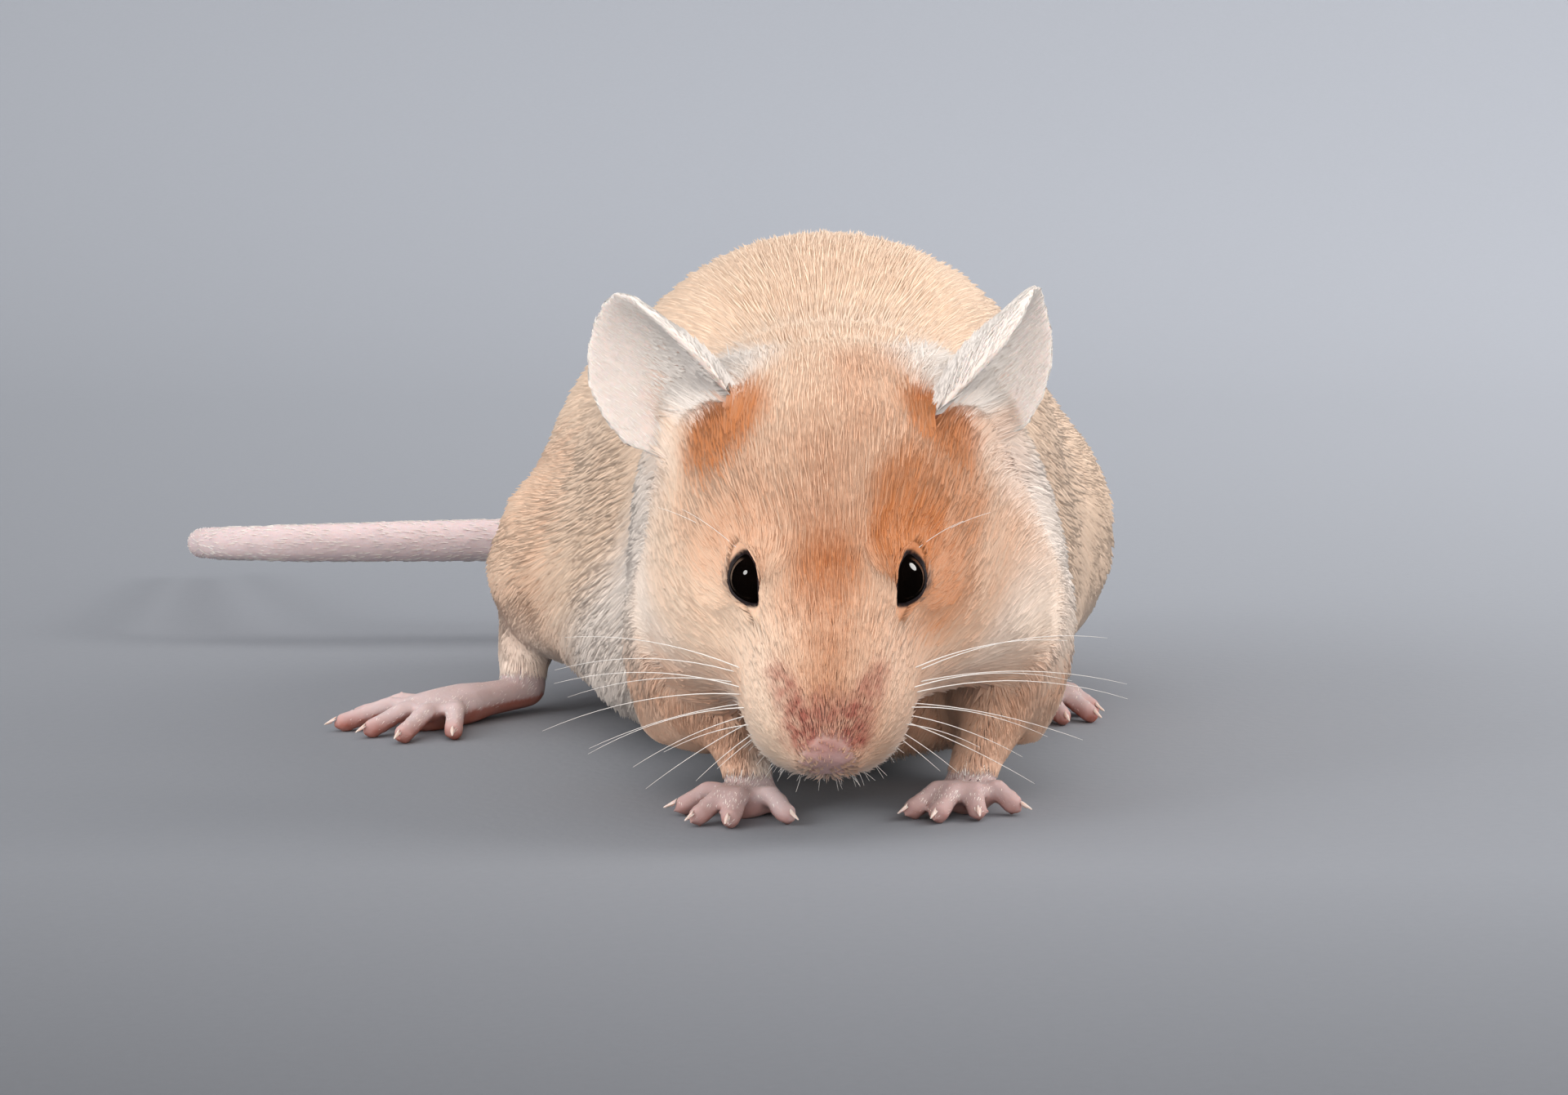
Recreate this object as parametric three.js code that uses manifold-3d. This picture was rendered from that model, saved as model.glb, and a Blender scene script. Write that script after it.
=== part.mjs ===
// A pet mouse, crouching with its head down, life size. Millimetres, +Z up.
// The mouse faces -Y, so its right side is -X.
// The origin is on the floor, under the middle of the belly. Every surface is the outside of the coat.
import * as THREE from "three";
import { mergeVertices } from "three/addons/utils/BufferGeometryUtils.js";
import Module from "manifold-3d";

const wasm = await Module();
wasm.setup();

// ---- Driving dimensions ----
const GAP = 0.3; // between neighbouring parts of the body
const FINE_GAP = 0.15; // round an eye, and between a toe and its claw
const MIDLINE = 0.2; // how far the head's middle plane is to the left of the origin
const NOSE_TIP = { y: -52.4, z: 5.4 };
const HEAD_PITCH = 48; // degrees, nose below level
const EYE_RADIUS = 1.85;
const EYE_PLACE = { back: 11.4, up: 2.8, out: 4.3 }; // in the head's own directions, from the nose tip
const EAR_LENGTH = 14.4;
const EAR_WIDTH = 12.2; // laid flat
const EAR_THICKNESS = 0.7;
const EAR_LEAN = 3; // how far the tip and the root come forward
const EAR_ROOT_SHARE = 0.7; // the ear's width at its root, as a share of its full width
const EAR_EDGE = 0.45; // below 1, it keeps the ear's rim thick
const FOOT_LENGTH = 17.5; // heel to the tip of the middle toe
const FOOT_WIDTH = 3.9;
const TOE_RADIUS = 0.68;
const TOE_ARCH = 0.35; // how far a toe rises above its knuckle, and falls below it again
const TOE_BENDS = [0.35, 0.75]; // where it does so, as shares of the way to the tip
const TOE_SINK = 0.08; // how far the floor flattens a toe's pad
const KNUCKLE_HEIGHT = 1.3;
const CLAW_LENGTH = 1.25;
const CLAW_STEPS = [0, 0.45, 0.9]; // share of its length at its base, middle and tip
const CLAW_RADII = [0.3, 0.27, 0.12];
const CLAW_HEIGHTS = [0.88, 0.85, 0.42]; // of its base, middle and tip above the floor
const TAIL_ROOT_RADIUS = 2.1;
const TAIL_TIP_RADIUS = 0.55;
const BLEND = 3.2; // how softly the masses of the body flow into each other

const COAT = new THREE.Color(0xe3b892);
const SKIN = new THREE.Color(0xdcaea6);
const EAR_SKIN = new THREE.Color(0xe4d8cf);
const EYE_BLACK = new THREE.Color(0x0a0808);
const HORN = new THREE.Color(0xf0e6dc);

const radians = THREE.MathUtils.degToRad;
const at = (x, y, z) => new THREE.Vector3(x, y, z);

// ---- Solids ----
function solidOf(geometry) {
  const bare = geometry.index ? geometry.toNonIndexed() : geometry.clone();
  bare.deleteAttribute("normal");
  bare.deleteAttribute("uv");
  const merged = mergeVertices(bare, 1e-4);
  return new wasm.Manifold(
    new wasm.Mesh({
      numProp: 3,
      vertProperties: merged.attributes.position.array,
      triVerts: new Uint32Array(merged.index.array),
    }),
  );
}

function geometryOf(solid) {
  const made = solid.getMesh();
  const positions = new Float32Array(made.numVert * 3);
  for (let i = 0; i < made.numVert; i++) {
    const start = i * made.numProp;
    positions.set(made.vertProperties.subarray(start, start + 3), i * 3);
  }
  const geometry = new THREE.BufferGeometry();
  geometry.setAttribute("position", new THREE.BufferAttribute(positions, 3));
  geometry.setIndex(new THREE.BufferAttribute(made.triVerts, 1));
  geometry.computeVertexNormals();
  return geometry;
}

// The largest piece of a cut solid: the crumbs that a cut leaves are dropped.
function largest(solid) {
  return solid.decompose().reduce((a, b) => (b.volume() > a.volume() ? b : a));
}

const union = (solids) => solids.reduce((a, b) => a.add(b));
// What lies beyond a plane through a point, on the side that the normal points to.
const beyond = (solid, point, normal) => {
  const n = normal.clone().normalize();
  return solid.trimByPlane([n.x, n.y, n.z], n.dot(point));
};
const aboveFloor = (solid) => beyond(solid, at(0, 0, 0), at(0, 0, 1));

function reshape(geometry, move) {
  const place = geometry.attributes.position;
  const point = at(0, 0, 0);
  for (let i = 0; i < place.count; i++) {
    const moved = move(point.fromBufferAttribute(place, i));
    place.setXYZ(i, moved.x, moved.y, moved.z);
  }
  return geometry;
}

function ellipsoid(centre, radii, detail = 20) {
  const ball = new THREE.SphereGeometry(1, detail, Math.round(detail * 0.7));
  return solidOf(ball.scale(radii.x, radii.y, radii.z).translate(centre.x, centre.y, centre.z));
}

// ---- The head's own directions: back along the skull, up out of the forehead, out to the left ----
const pitch = radians(HEAD_PITCH);
const BACK = at(0, Math.cos(pitch), Math.sin(pitch));
const UP = at(0, -Math.sin(pitch), Math.cos(pitch));
const inHead = (back, up, out = 0) =>
  at(MIDLINE + out, NOSE_TIP.y, NOSE_TIP.z).addScaledVector(BACK, back).addScaledVector(UP, up);

// ---- The masses of the body: ellipsoids that flow into each other ----
const mass = (centre, out, along, high, tilt = 0) => ({ centre, out, along, high, tilt });
const headMass = (back, up, out, along, high, wide) =>
  mass(inHead(back, up, out), wide, along, high, pitch);

const MASSES = [
  headMass(1.5, 0.1, 0, 1.9, 1.7, 1.9), // nose
  headMass(6.2, -0.3, 0, 6.2, 3.6, 4.2), // muzzle
  headMass(5.4, -1.9, -2.4, 3.9, 2.9, 2.8), // right whisker pad
  headMass(5.4, -1.9, 2.4, 3.9, 2.9, 2.8), // left whisker pad
  headMass(7.5, -4.2, 0, 5.0, 2.2, 3.0), // chin
  headMass(11.5, 0.6, 0, 8.5, 5.2, 5.0), // bridge of the nose and brow
  headMass(19.0, 0.6, 0, 9.0, 8.0, 8.6), // skull
  headMass(15.2, -3.6, -4.8, 7.2, 6.2, 6.2), // right cheek
  headMass(15.2, -3.6, 4.8, 7.2, 6.2, 6.2), // left cheek
  mass(at(0.9, -30.5, 19.2), 12.8, 13, 11.6), // neck
  mass(at(1.8, -26, 14.2), 14.2, 13, 13.6), // chest
  mass(at(-7.4, -33, 9.2), 5.8, 7.0, 8.2), // right shoulder
  mass(at(11.2, -33, 10.2), 5.6, 6.6, 8.8), // left shoulder
  mass(at(0.5, -7, 19.2), 16.2, 23, 16.2), // back
  mass(at(0, -3, 12.5), 19.0, 24, 12.9), // belly
  mass(at(-9.0, -8, 7.6), 8.6, 15, 7.9), // right flank
  mass(at(9.0, -6, 7.6), 8.6, 15, 7.9), // left flank
  mass(at(-0.9, 8.5, 16.2), 19.2, 19.5, 15.6), // rump
  mass(at(-16.4, 1.5, 10.6), 8.0, 11.6, 7.4), // right haunch
  mass(at(14.0, 6.0, 12.6), 8.0, 12.0, 9.2), // left haunch
];

// Distance to one mass, near enough beside its surface: below zero inside.
function distanceTo(m, p) {
  const y = p.y - m.centre.y;
  const z = p.z - m.centre.z;
  const along = y * Math.cos(m.tilt) + z * Math.sin(m.tilt);
  const high = z * Math.cos(m.tilt) - y * Math.sin(m.tilt);
  const out = p.x - m.centre.x;
  const near = Math.hypot(out / m.out, along / m.along, high / m.high);
  const steep = Math.hypot(out / m.out ** 2, along / m.along ** 2, high / m.high ** 2);
  return near < 1e-6 ? -Math.min(m.out, m.along, m.high) : (near * (near - 1)) / steep;
}

// Distance to the whole body, each mass blended into the ones before it.
function bodyDistance(p) {
  return MASSES.reduce((sofar, m) => {
    const next = distanceTo(m, p);
    const blend = Math.max(BLEND - Math.abs(sofar - next), 0) / BLEND;
    return Math.min(sofar, next) - (blend * blend * BLEND) / 4;
  }, Infinity);
}

// ---- Wrapping capsules round the body: an axis inside, and a skin moved out to the masses' surface ----
// Each wrap stops at a plane inside the other one, which is a point and the direction that it faces.
const HEAD_WRAP = {
  spine: [inHead(4.8, -1.0), inHead(12, -0.8), inHead(19.5, -1.6)],
  end: { point: at(0, -31, 0), normal: at(0, 1, 0) },
  around: 28,
  rings: 13,
};
const TORSO_WRAP = {
  spine: [at(0.9, -31, 17.6), at(1.4, -21, 17.0), at(0.2, -4, 15.4), at(-0.8, 12, 14.6)],
  end: { point: at(0, -41.5, 0), normal: at(0, -1, 0) },
  around: 30,
  rings: 18,
};
const RAY_STEP = 0.6;
const RAY_REACH = 45;

function surfaceAlong(origin, direction, level, end) {
  const outside = (t) => {
    const place = origin.clone().addScaledVector(direction, t);
    return place.clone().sub(end.point).dot(end.normal) > 0 || bodyDistance(place) > level;
  };
  let far = RAY_STEP;
  while (far < RAY_REACH && !outside(far)) far += RAY_STEP;
  let near = far - RAY_STEP;
  for (let i = 0; i < 14; i++) {
    const middle = (near + far) / 2;
    if (outside(middle)) far = middle;
    else near = middle;
  }
  return origin.clone().addScaledVector(direction, far);
}

// A capsule's point as a share of the way along its axis and a direction outwards.
function capsulePlace(p, height) {
  const onAxis = THREE.MathUtils.clamp(p.y, -height / 2, height / 2);
  return { share: onAxis / height + 0.5, out: at(p.x, p.y - onAxis, p.z).normalize() };
}

function wrap({ spine, end, around, rings }, level = 0) {
  const height = 10;
  const axis = new THREE.CatmullRomCurve3(spine);
  const capsule = new THREE.CapsuleGeometry(1, height, 4, around, rings);
  return solidOf(
    reshape(capsule, (p) => {
      const { share, out } = capsulePlace(p, height);
      const ahead = axis.getTangent(share);
      const upward = at(1, 0, 0).cross(ahead).normalize();
      const direction = at(1, 0, 0)
        .multiplyScalar(out.x)
        .addScaledVector(ahead, out.y)
        .addScaledVector(upward, out.z)
        .normalize();
      return surfaceAlong(axis.getPoint(share), direction, level, end);
    }),
  );
}

// ---- Limbs, toes and tail: round bars along a curve, tapering through a list of radii ----
function taper(radii, t) {
  const place = t * (radii.length - 1);
  const i = Math.min(Math.floor(place), radii.length - 2);
  return THREE.MathUtils.lerp(radii[i], radii[i + 1], THREE.MathUtils.smoothstep(place - i, 0, 1));
}

const UPRIGHT = at(0, 0, 1);
const FORWARD = at(0, -1, 0);

// The curve's point, and the two directions across it, the second as near to upright as it can be.
function across(curve, t, upright) {
  const ahead = curve.getTangent(t);
  const side = ahead.clone().cross(upright).normalize();
  return { point: curve.getPoint(t), ahead, side, over: side.clone().cross(ahead) };
}

// A steep bar takes another direction than up as its upright.
function bar(points, radii, options = {}) {
  const { flat = 1, around = 8, rings = 4, caps = 2, grown = 0, upright = UPRIGHT } = options;
  const curve = new THREE.CatmullRomCurve3(points);
  const height = 10;
  const capsule = new THREE.CapsuleGeometry(1, height, caps, around, rings);
  return solidOf(
    reshape(capsule, (p) => {
      const { share, out } = capsulePlace(p, height);
      const { point, ahead, side, over } = across(curve, share, upright);
      const radius = taper(radii, share) + grown;
      return point
        .addScaledVector(side, out.x * radius)
        .addScaledVector(ahead, out.y * radius)
        .addScaledVector(over, out.z * (radius * flat));
    }),
  );
}

// A stretch of a curve from one share of its length to another, with flat ends.
function stretch(curve, radiusAt, from, to, around, rings) {
  const rod = new THREE.CylinderGeometry(1, 1, 1, around, rings);
  return solidOf(
    reshape(rod, (p) => {
      const t = THREE.MathUtils.lerp(from, to, p.y + 0.5);
      const { point, side, over } = across(curve, t, UPRIGHT);
      const radius = radiusAt(t);
      return point.addScaledVector(side, p.x * radius).addScaledVector(over, p.z * radius);
    }),
  );
}

// ---- Tail ----
const TAIL_PATH = new THREE.CatmullRomCurve3([
  at(-0.9, 22, 11.2),
  at(-2.4, 30.5, 9.8),
  at(-9.5, 35.6, 8.7),
  at(-22, 35.8, 8.3),
  at(-34, 35.0, 8.2),
  at(-44.5, 35.4, 8.0),
  at(-49.8, 39.6, 7.5),
  at(-51.4, 48, 6.5),
  at(-52.8, 58, 5.3),
  at(-54.2, 68, 4.1),
  at(-55.0, 75, 3.3),
]);
const TAIL_LENGTHS = 4;
const TAIL_SPLITS = [0, 0.3, 0.52, 0.76, 1];
const tailRadius = (t) => THREE.MathUtils.lerp(TAIL_ROOT_RADIUS, TAIL_TIP_RADIUS, t ** 1.3);

function tailLength(i, body) {
  const halfGap = GAP / 2 / TAIL_PATH.getLength();
  const from = TAIL_SPLITS[i] + (i > 0 ? halfGap : 0);
  const to = TAIL_SPLITS[i + 1] - (i < TAIL_LENGTHS - 1 ? halfGap : 0);
  const made = stretch(TAIL_PATH, tailRadius, from, to, 9, 7);
  return i === 0 ? made.subtract(body) : made;
}

// ---- Ears: a leaf cupped round its long axis ----
function ear({ root, long, open, cup }) {
  const along = long.clone().normalize();
  const facing = open.clone().addScaledVector(along, -open.dot(along)).normalize();
  const wide = facing.clone().cross(along);
  const leaf = new THREE.SphereGeometry(1, 18, 9);
  return solidOf(
    reshape(leaf, (p) => {
      const height = (p.z + 1) / 2; // 0 at the root, 1 at the tip
      const bend = radians(cup);
      const widening = THREE.MathUtils.smoothstep(height, 0, 0.5);
      const radius = (EAR_WIDTH / 2 / bend) * THREE.MathUtils.lerp(EAR_ROOT_SHARE, 1, widening);
      const angle = p.x * bend;
      const skin = Math.sign(p.y) * Math.abs(p.y) ** EAR_EDGE * (EAR_THICKNESS / 2);
      const depth = radius - (radius - skin) * Math.cos(angle);
      return root
        .clone()
        .addScaledVector(along, height * EAR_LENGTH)
        .addScaledVector(wide, (radius - skin) * Math.sin(angle))
        .addScaledVector(facing, depth + EAR_LEAN * (height - 0.5) ** 2);
    }),
  );
}

// ---- Feet: local directions are ahead along the foot and inner towards the mouse's middle ----
// heading is in degrees, from straight ahead towards the mouse's right.
function footFrame(origin, heading, innerSide) {
  const turn = radians(heading);
  const ahead = at(-Math.sin(turn), -Math.cos(turn), 0);
  const inner = at(Math.cos(turn), -Math.sin(turn), 0).multiplyScalar(innerSide);
  return (forward, inwards, z) =>
    at(origin.x, origin.y, z).addScaledVector(ahead, forward).addScaledVector(inner, inwards);
}

// A toe arches from its knuckle to a tip whose pad rests on the floor.
// The knuckle and the tip are each [forward, inwards].
function toePoints(place, knuckle, tip) {
  const between = (share) => knuckle.map((from, i) => THREE.MathUtils.lerp(from, tip[i], share));
  return [
    place(...knuckle, KNUCKLE_HEIGHT),
    place(...between(TOE_BENDS[0]), KNUCKLE_HEIGHT + TOE_ARCH),
    place(...between(TOE_BENDS[1]), KNUCKLE_HEIGHT - TOE_ARCH),
    place(...tip, TOE_RADIUS - TOE_SINK),
  ];
}

// [forward, inwards] of a point at an angle, in degrees towards the inner side, and a distance.
const polar = (angle, reach) => [
  reach * Math.cos(radians(angle)),
  reach * Math.sin(radians(angle)),
];

const TOE_RADII = [TOE_RADIUS * 1.1, TOE_RADIUS * 0.92, TOE_RADIUS];
const toe = (points, grown = 0) => bar(points, TOE_RADII, { around: 5, rings: 3, caps: 1, grown });

// A claw leaves the top of a toe's tip and curves down to just above the floor.
function clawBar(points, grown = 0) {
  const [, , lastJoint, tip] = points;
  const ahead = tip.clone().sub(lastJoint).setZ(0).normalize();
  const root = tip.clone().addScaledVector(ahead, TOE_RADIUS / 2);
  const line = CLAW_HEIGHTS.map((height, i) =>
    root.clone().addScaledVector(ahead, CLAW_LENGTH * CLAW_STEPS[i]).setZ(height),
  );
  return bar(line, CLAW_RADII, { around: 4, rings: 1, caps: 1, grown });
}

const claw = (points) => clawBar(points).subtract(toe(points, FINE_GAP));

// Toes run from the inner one to the outer one; each fan is its angle towards the inner side.
const HAND = {
  right: {
    palm: at(-4.6, -41.4, 0),
    heading: 15,
    fans: [43, 2, -20, -60],
    reaches: [5.0, 5.8, 5.9, 4.5],
    limb: [at(-8.0, -33.5, 9.2), at(-6.6, -37.2, 6.4), at(-5.3, -39.6, 3.9), at(-4.7, -40.9, 1.9)],
  },
  left: {
    palm: at(9.4, -39.8, 0),
    heading: 10,
    fans: [33, 12, -14, -56],
    reaches: [5.6, 5.9, 4.7, 3.9],
    limb: [at(12.4, -33.0, 9.6), at(11.6, -36.0, 6.4), at(10.3, -38.6, 3.9), at(9.5, -39.6, 1.9)],
  },
};
const KNUCKLE_REACH = 2.0;
const KNUCKLE_FAN = 0.8; // the knuckles fan out less than the tips, by this share
const PALM = { line: [[-1.4, 0, 1.1], [0, 0, 1.15], [1.2, 0, 1.0]], radii: [1.3, 1.9, 1.8] };
const THUMB = { line: [[-0.4, 1.2, 0.9], [0.4, 2.2, 0.6]], radii: [0.7, 0.6] };

// toes holds the centre line of each toe, so that its claw can follow it.
function forepaw(side, grown = 0) {
  const { palm, heading, fans, reaches } = HAND[side];
  const place = footFrame(palm, heading, side === "right" ? 1 : -1);
  const toes = fans.map((fan, i) =>
    toePoints(place, polar(fan * KNUCKLE_FAN, KNUCKLE_REACH), polar(fan, reaches[i])),
  );
  const placed = ({ line }) => line.map((point) => place(...point));
  const pad = bar(placed(PALM), PALM.radii, { flat: 0.6, grown });
  const thumb = bar(placed(THUMB), THUMB.radii, { around: 5, rings: 1, caps: 1, grown });
  return { toes, solid: union([pad, thumb, ...toes.map((points) => toe(points, grown))]) };
}

// spread is how far the toes fan out: 1 is fully.
const FOOT = {
  right: {
    heel: at(-21.2, -0.4, 0),
    heading: 41,
    spread: 1,
    limb: [at(-18.6, 3.2, 11), at(-20.6, 1.8, 7.4), at(-21.6, 0.6, 4.4), at(-21.6, -0.6, 2.0)],
  },
  left: {
    heel: at(13.8, 8.4, 0),
    heading: -14,
    spread: 0.5,
    limb: [at(13.6, 9.6, 11), at(13.6, 9.4, 7.4), at(13.7, 8.8, 4.4), at(13.8, 8.0, 2.0)],
  },
};
const TOE_ROOTS = [[9.4, 2.0], [10.5, 1.3], [11.0, 0.3], [10.6, -0.8], [9.0, -1.5]];
const TOE_TIPS = [[12.9, 5.2], [16.3, 3.5], [16.1, 0], [15.4, -3.6], [12.6, -4.9]];
const SOLE = {
  line: [[0.4, 0, 1.45], [4, 0, 1.4], [7.6, 0.1, 1.3], [FOOT_LENGTH - 6.6, 0.1, 1.15]],
  radii: [1.4, 1.5, FOOT_WIDTH / 2, FOOT_WIDTH / 2 - 0.1],
};

function hindfoot(side, grown = 0) {
  const { heel, heading, spread } = FOOT[side];
  const place = footFrame(heel, heading, side === "right" ? 1 : -1);
  const toes = TOE_TIPS.map(([forward, inwards], i) => {
    const fanned = THREE.MathUtils.lerp(TOE_ROOTS[i][1], inwards, spread);
    return toePoints(place, TOE_ROOTS[i], [forward, fanned]);
  });
  const line = SOLE.line.map((point) => place(...point));
  const sole = bar(line, SOLE.radii, { flat: 0.75, rings: 5, grown });
  return { toes, solid: union([sole, ...toes.map((points) => toe(points, grown))]) };
}

// ---- Cuts that part the body: each is a point on a plane and the direction away from the nose ----
const NAPE_CUT = { point: at(0, -34.2, 12), normal: at(0, 1, 0.06) }; // behind the ears and the cheeks
const THROAT_CUT = { point: at(0, -34.2, 11.4), normal: at(0, 0.61, -0.79) }; // under the jaw
const CHEST_CUT = { point: at(0, -24.5, 0), normal: at(0, 1, 0.1) }; // behind the shoulders
const LEG_CUTS = {
  right_foreleg: { centre: at(-10.8, -33.6, 6.6), out: 7.2, along: 6.8, high: 8.6 },
  left_foreleg: { centre: at(15.2, -33.4, 6.8), out: 7.2, along: 6.8, high: 8.8 },
  right_hindleg: { centre: at(-23.6, 1.4, 9.6), out: 10.2, along: 11.6, high: 8.6 },
  left_hindleg: { centre: at(21.4, 5.8, 10.2), out: 10.2, along: 12.0, high: 9.6 },
};
const legCut = (name, grown = 0) => {
  const { centre, out, along, high } = LEG_CUTS[name];
  return ellipsoid(centre, at(out + grown, along + grown, high + grown), 12);
};

// A limb's radii from the shoulder or thigh down, and the height at which its foot begins.
const ARM = { radii: [3.4, 2.4, 1.6, 1.5], parting: 2.9 };
const SHIN = { radii: [4.2, 2.8, 1.8, 1.6], parting: 3.3 };
const LIMBS = [
  { side: "right", leg: "foreleg", foot: "forepaw", ...ARM, line: HAND.right.limb, make: forepaw },
  { side: "left", leg: "foreleg", foot: "forepaw", ...ARM, line: HAND.left.limb, make: forepaw },
  { side: "right", leg: "hindleg", foot: "hindfoot", ...SHIN, line: FOOT.right.limb, make: hindfoot },
  { side: "left", leg: "hindleg", foot: "hindfoot", ...SHIN, line: FOOT.left.limb, make: hindfoot },
];

// ---- Assembly ----
const mouse = new THREE.Group();
const finish = (color, roughness) => new THREE.MeshStandardMaterial({ color, roughness, metalness: 0 });
function addPart(name, solid, material) {
  const mesh = new THREE.Mesh(geometryOf(largest(solid)), material);
  mesh.name = name;
  mouse.add(mesh);
}

const coat = finish(COAT, 0.85);
const bareSkin = finish(SKIN, 0.6);
const earSkin = finish(EAR_SKIN, 0.6);
const wetBlack = finish(EYE_BLACK, 0.05);
const horn = finish(HORN, 0.35);

const face = wrap(HEAD_WRAP);
const torso = aboveFloor(wrap(TORSO_WRAP));

// Legs: the swell of the shoulder or haunch is cut out of the body, and the free limb is joined to it.
// Each leg returns the room that it takes out of the body.
const rooms = LIMBS.map(({ side, leg, foot, radii, parting, line, make }) => {
  const limb = (grown) => bar(line, radii, { around: 9, rings: 3, grown, upright: FORWARD });
  const legName = `${side}_${leg}`;
  const footName = `${side}_${foot}`;
  const paw = make(side);
  const upper = torso.intersect(legCut(legName)).add(limb(0));
  addPart(legName, beyond(upper, at(0, 0, parting + GAP / 2), UPRIGHT), coat);
  const lower = beyond(limb(0).add(paw.solid), at(0, 0, parting - GAP / 2), UPRIGHT.clone().negate());
  addPart(footName, aboveFloor(lower), bareSkin);
  paw.toes.forEach((points, i) => addPart(`${footName}_claw_${i + 1}`, claw(points), horn));
  const claws = paw.toes.map((points) => clawBar(points, GAP));
  return union([legCut(legName, GAP), limb(GAP), make(side, GAP).solid, ...claws]);
});
const room = union(rooms);
const core = torso.subtract(room);

// Head, neck and trunk, parted by thin cuts. The neck takes in the throat, which is under the jaw.
const behind = (solid, { point, normal }) => {
  const shift = normal.clone().setLength(GAP / 2);
  return beyond(solid, point.clone().add(shift), normal);
};
const before = (solid, { point, normal }) => {
  const shift = normal.clone().setLength(-GAP / 2);
  return beyond(solid, point.clone().add(shift), normal.clone().negate());
};
const eyes = [-1, 1].map((side) => inHead(EYE_PLACE.back, EYE_PLACE.up, side * EYE_PLACE.out));
const ball = (centre, radius) => ellipsoid(centre, at(radius, radius, radius), 12);
const sockets = union(eyes.map((centre) => ball(centre, EYE_RADIUS + FINE_GAP)));
addPart("head", before(before(face, NAPE_CUT), THROAT_CUT).subtract(room).subtract(sockets), coat);
const front = before(core, CHEST_CUT);
addPart("neck", behind(front, NAPE_CUT).add(behind(before(front, NAPE_CUT), THROAT_CUT)), coat);
addPart("trunk", behind(core, CHEST_CUT), coat);

eyes.forEach((centre, i) => {
  addPart(["right_eye", "left_eye"][i], ball(centre, EYE_RADIUS), wetBlack);
});

// The right ear opens forwards; the left one is turned out to the side.
// cup is how far each half is bent round, in degrees.
const EARS = {
  right_ear: {
    root: at(-4.1, -39.4, 23.3),
    long: at(-0.68, 0.38, 0.57),
    open: at(-0.72, -0.64, -0.1),
    cup: 68,
  },
  left_ear: {
    root: at(5.2, -40.2, 23.0),
    long: at(0.6, 0.4, 0.7),
    open: at(0.8, -0.48, -0.28),
    cup: 76,
  },
};
const grownFace = wrap(HEAD_WRAP, GAP);
const grownTorso = wrap(TORSO_WRAP, GAP);
for (const [name, pose] of Object.entries(EARS)) {
  addPart(name, ear(pose).subtract(grownFace).subtract(grownTorso), earSkin);
}

for (let i = 0; i < TAIL_LENGTHS; i++) addPart(`tail_${i + 1}`, tailLength(i, grownTorso), bareSkin);

export default mouse;
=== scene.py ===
"""A fawn pet mouse, crouching with its head down: its looks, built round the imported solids.

One skin stands for the flesh, and a coat of fine closed tufts lies over it along the lie of the hair.
Lengths in the formulas are millimetres; meshes are in metres.
"""

import math

import bmesh
import bpy
import numpy as np
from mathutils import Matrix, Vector
from mathutils.bvhtree import BVHTree


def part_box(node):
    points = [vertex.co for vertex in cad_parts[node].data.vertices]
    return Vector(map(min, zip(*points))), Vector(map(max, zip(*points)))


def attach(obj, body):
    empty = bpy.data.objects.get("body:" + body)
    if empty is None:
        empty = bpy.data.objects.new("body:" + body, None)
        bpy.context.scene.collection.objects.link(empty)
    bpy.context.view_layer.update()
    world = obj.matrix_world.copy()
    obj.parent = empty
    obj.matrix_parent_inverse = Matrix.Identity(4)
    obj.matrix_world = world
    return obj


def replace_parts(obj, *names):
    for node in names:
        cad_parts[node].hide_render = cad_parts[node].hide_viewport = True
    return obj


bl_info = {
    "name": "Fawn mouse",
    "version": (1, 0, 0),
    "blender": (4, 5, 0),
    "location": "3D View > Sidebar > Mouse",
    "description": "Builds the skin, coat, eyes, claws and whiskers of a crouching pet mouse",
    "category": "Object",
}

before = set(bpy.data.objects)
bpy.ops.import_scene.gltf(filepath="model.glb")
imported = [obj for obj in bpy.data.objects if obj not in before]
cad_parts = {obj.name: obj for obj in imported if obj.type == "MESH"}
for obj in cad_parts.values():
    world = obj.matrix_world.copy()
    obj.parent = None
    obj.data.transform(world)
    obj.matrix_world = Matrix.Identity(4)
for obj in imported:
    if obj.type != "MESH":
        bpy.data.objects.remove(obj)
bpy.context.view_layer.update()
MM = 0.001

# ---- Anatomy: the head's own directions start from the nose tip ----
NOSE_TIP = np.array([0.2, -52.4, 5.4])
HEAD_PITCH = math.radians(48)
BACK = np.array([0, math.cos(HEAD_PITCH), math.sin(HEAD_PITCH)])
UP = np.array([0, -math.sin(HEAD_PITCH), math.cos(HEAD_PITCH)])
OUT = np.array([1.0, 0, 0])
TAIL_ROOT = np.array([-0.9, 24.0, 11.0])
# root of each ear, the way it points and the way it opens
EAR_POSES = {
    "right": (np.array([-4.1, -39.4, 23.3]), np.array([-0.68, 0.38, 0.57]), np.array([-0.72, -0.64, -0.1])),
    "left": (np.array([5.2, -40.2, 23.0]), np.array([0.6, 0.4, 0.7]), np.array([0.8, -0.48, -0.28])),
}

SIDES = ("right", "left")
PAWS = [f"{side}_{paw}" for side in SIDES for paw in ("forepaw", "hindfoot")]
LEGS = [f"{side}_{leg}" for side in SIDES for leg in ("foreleg", "hindleg")]
EARS = [f"{side}_ear" for side in SIDES]
TAIL = [f"tail_{i}" for i in (1, 2, 3, 4)]
FLESH = ["head", "neck", "trunk", *LEGS, *PAWS, *EARS, *TAIL]
REGIONS = {
    "head": ["head"],
    "neck": ["neck"],
    "trunk": ["trunk"],
    "foreleg": LEGS[0::2],
    "hindleg": LEGS[1::2],
    "forepaw": PAWS[0::2],
    "hindfoot": PAWS[1::2],
    "ear": EARS,
    "tail": TAIL,
}
REGION_NAMES = list(REGIONS)
REGION_OF = {node: i for i, nodes in enumerate(REGIONS.values()) for node in nodes}
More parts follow.
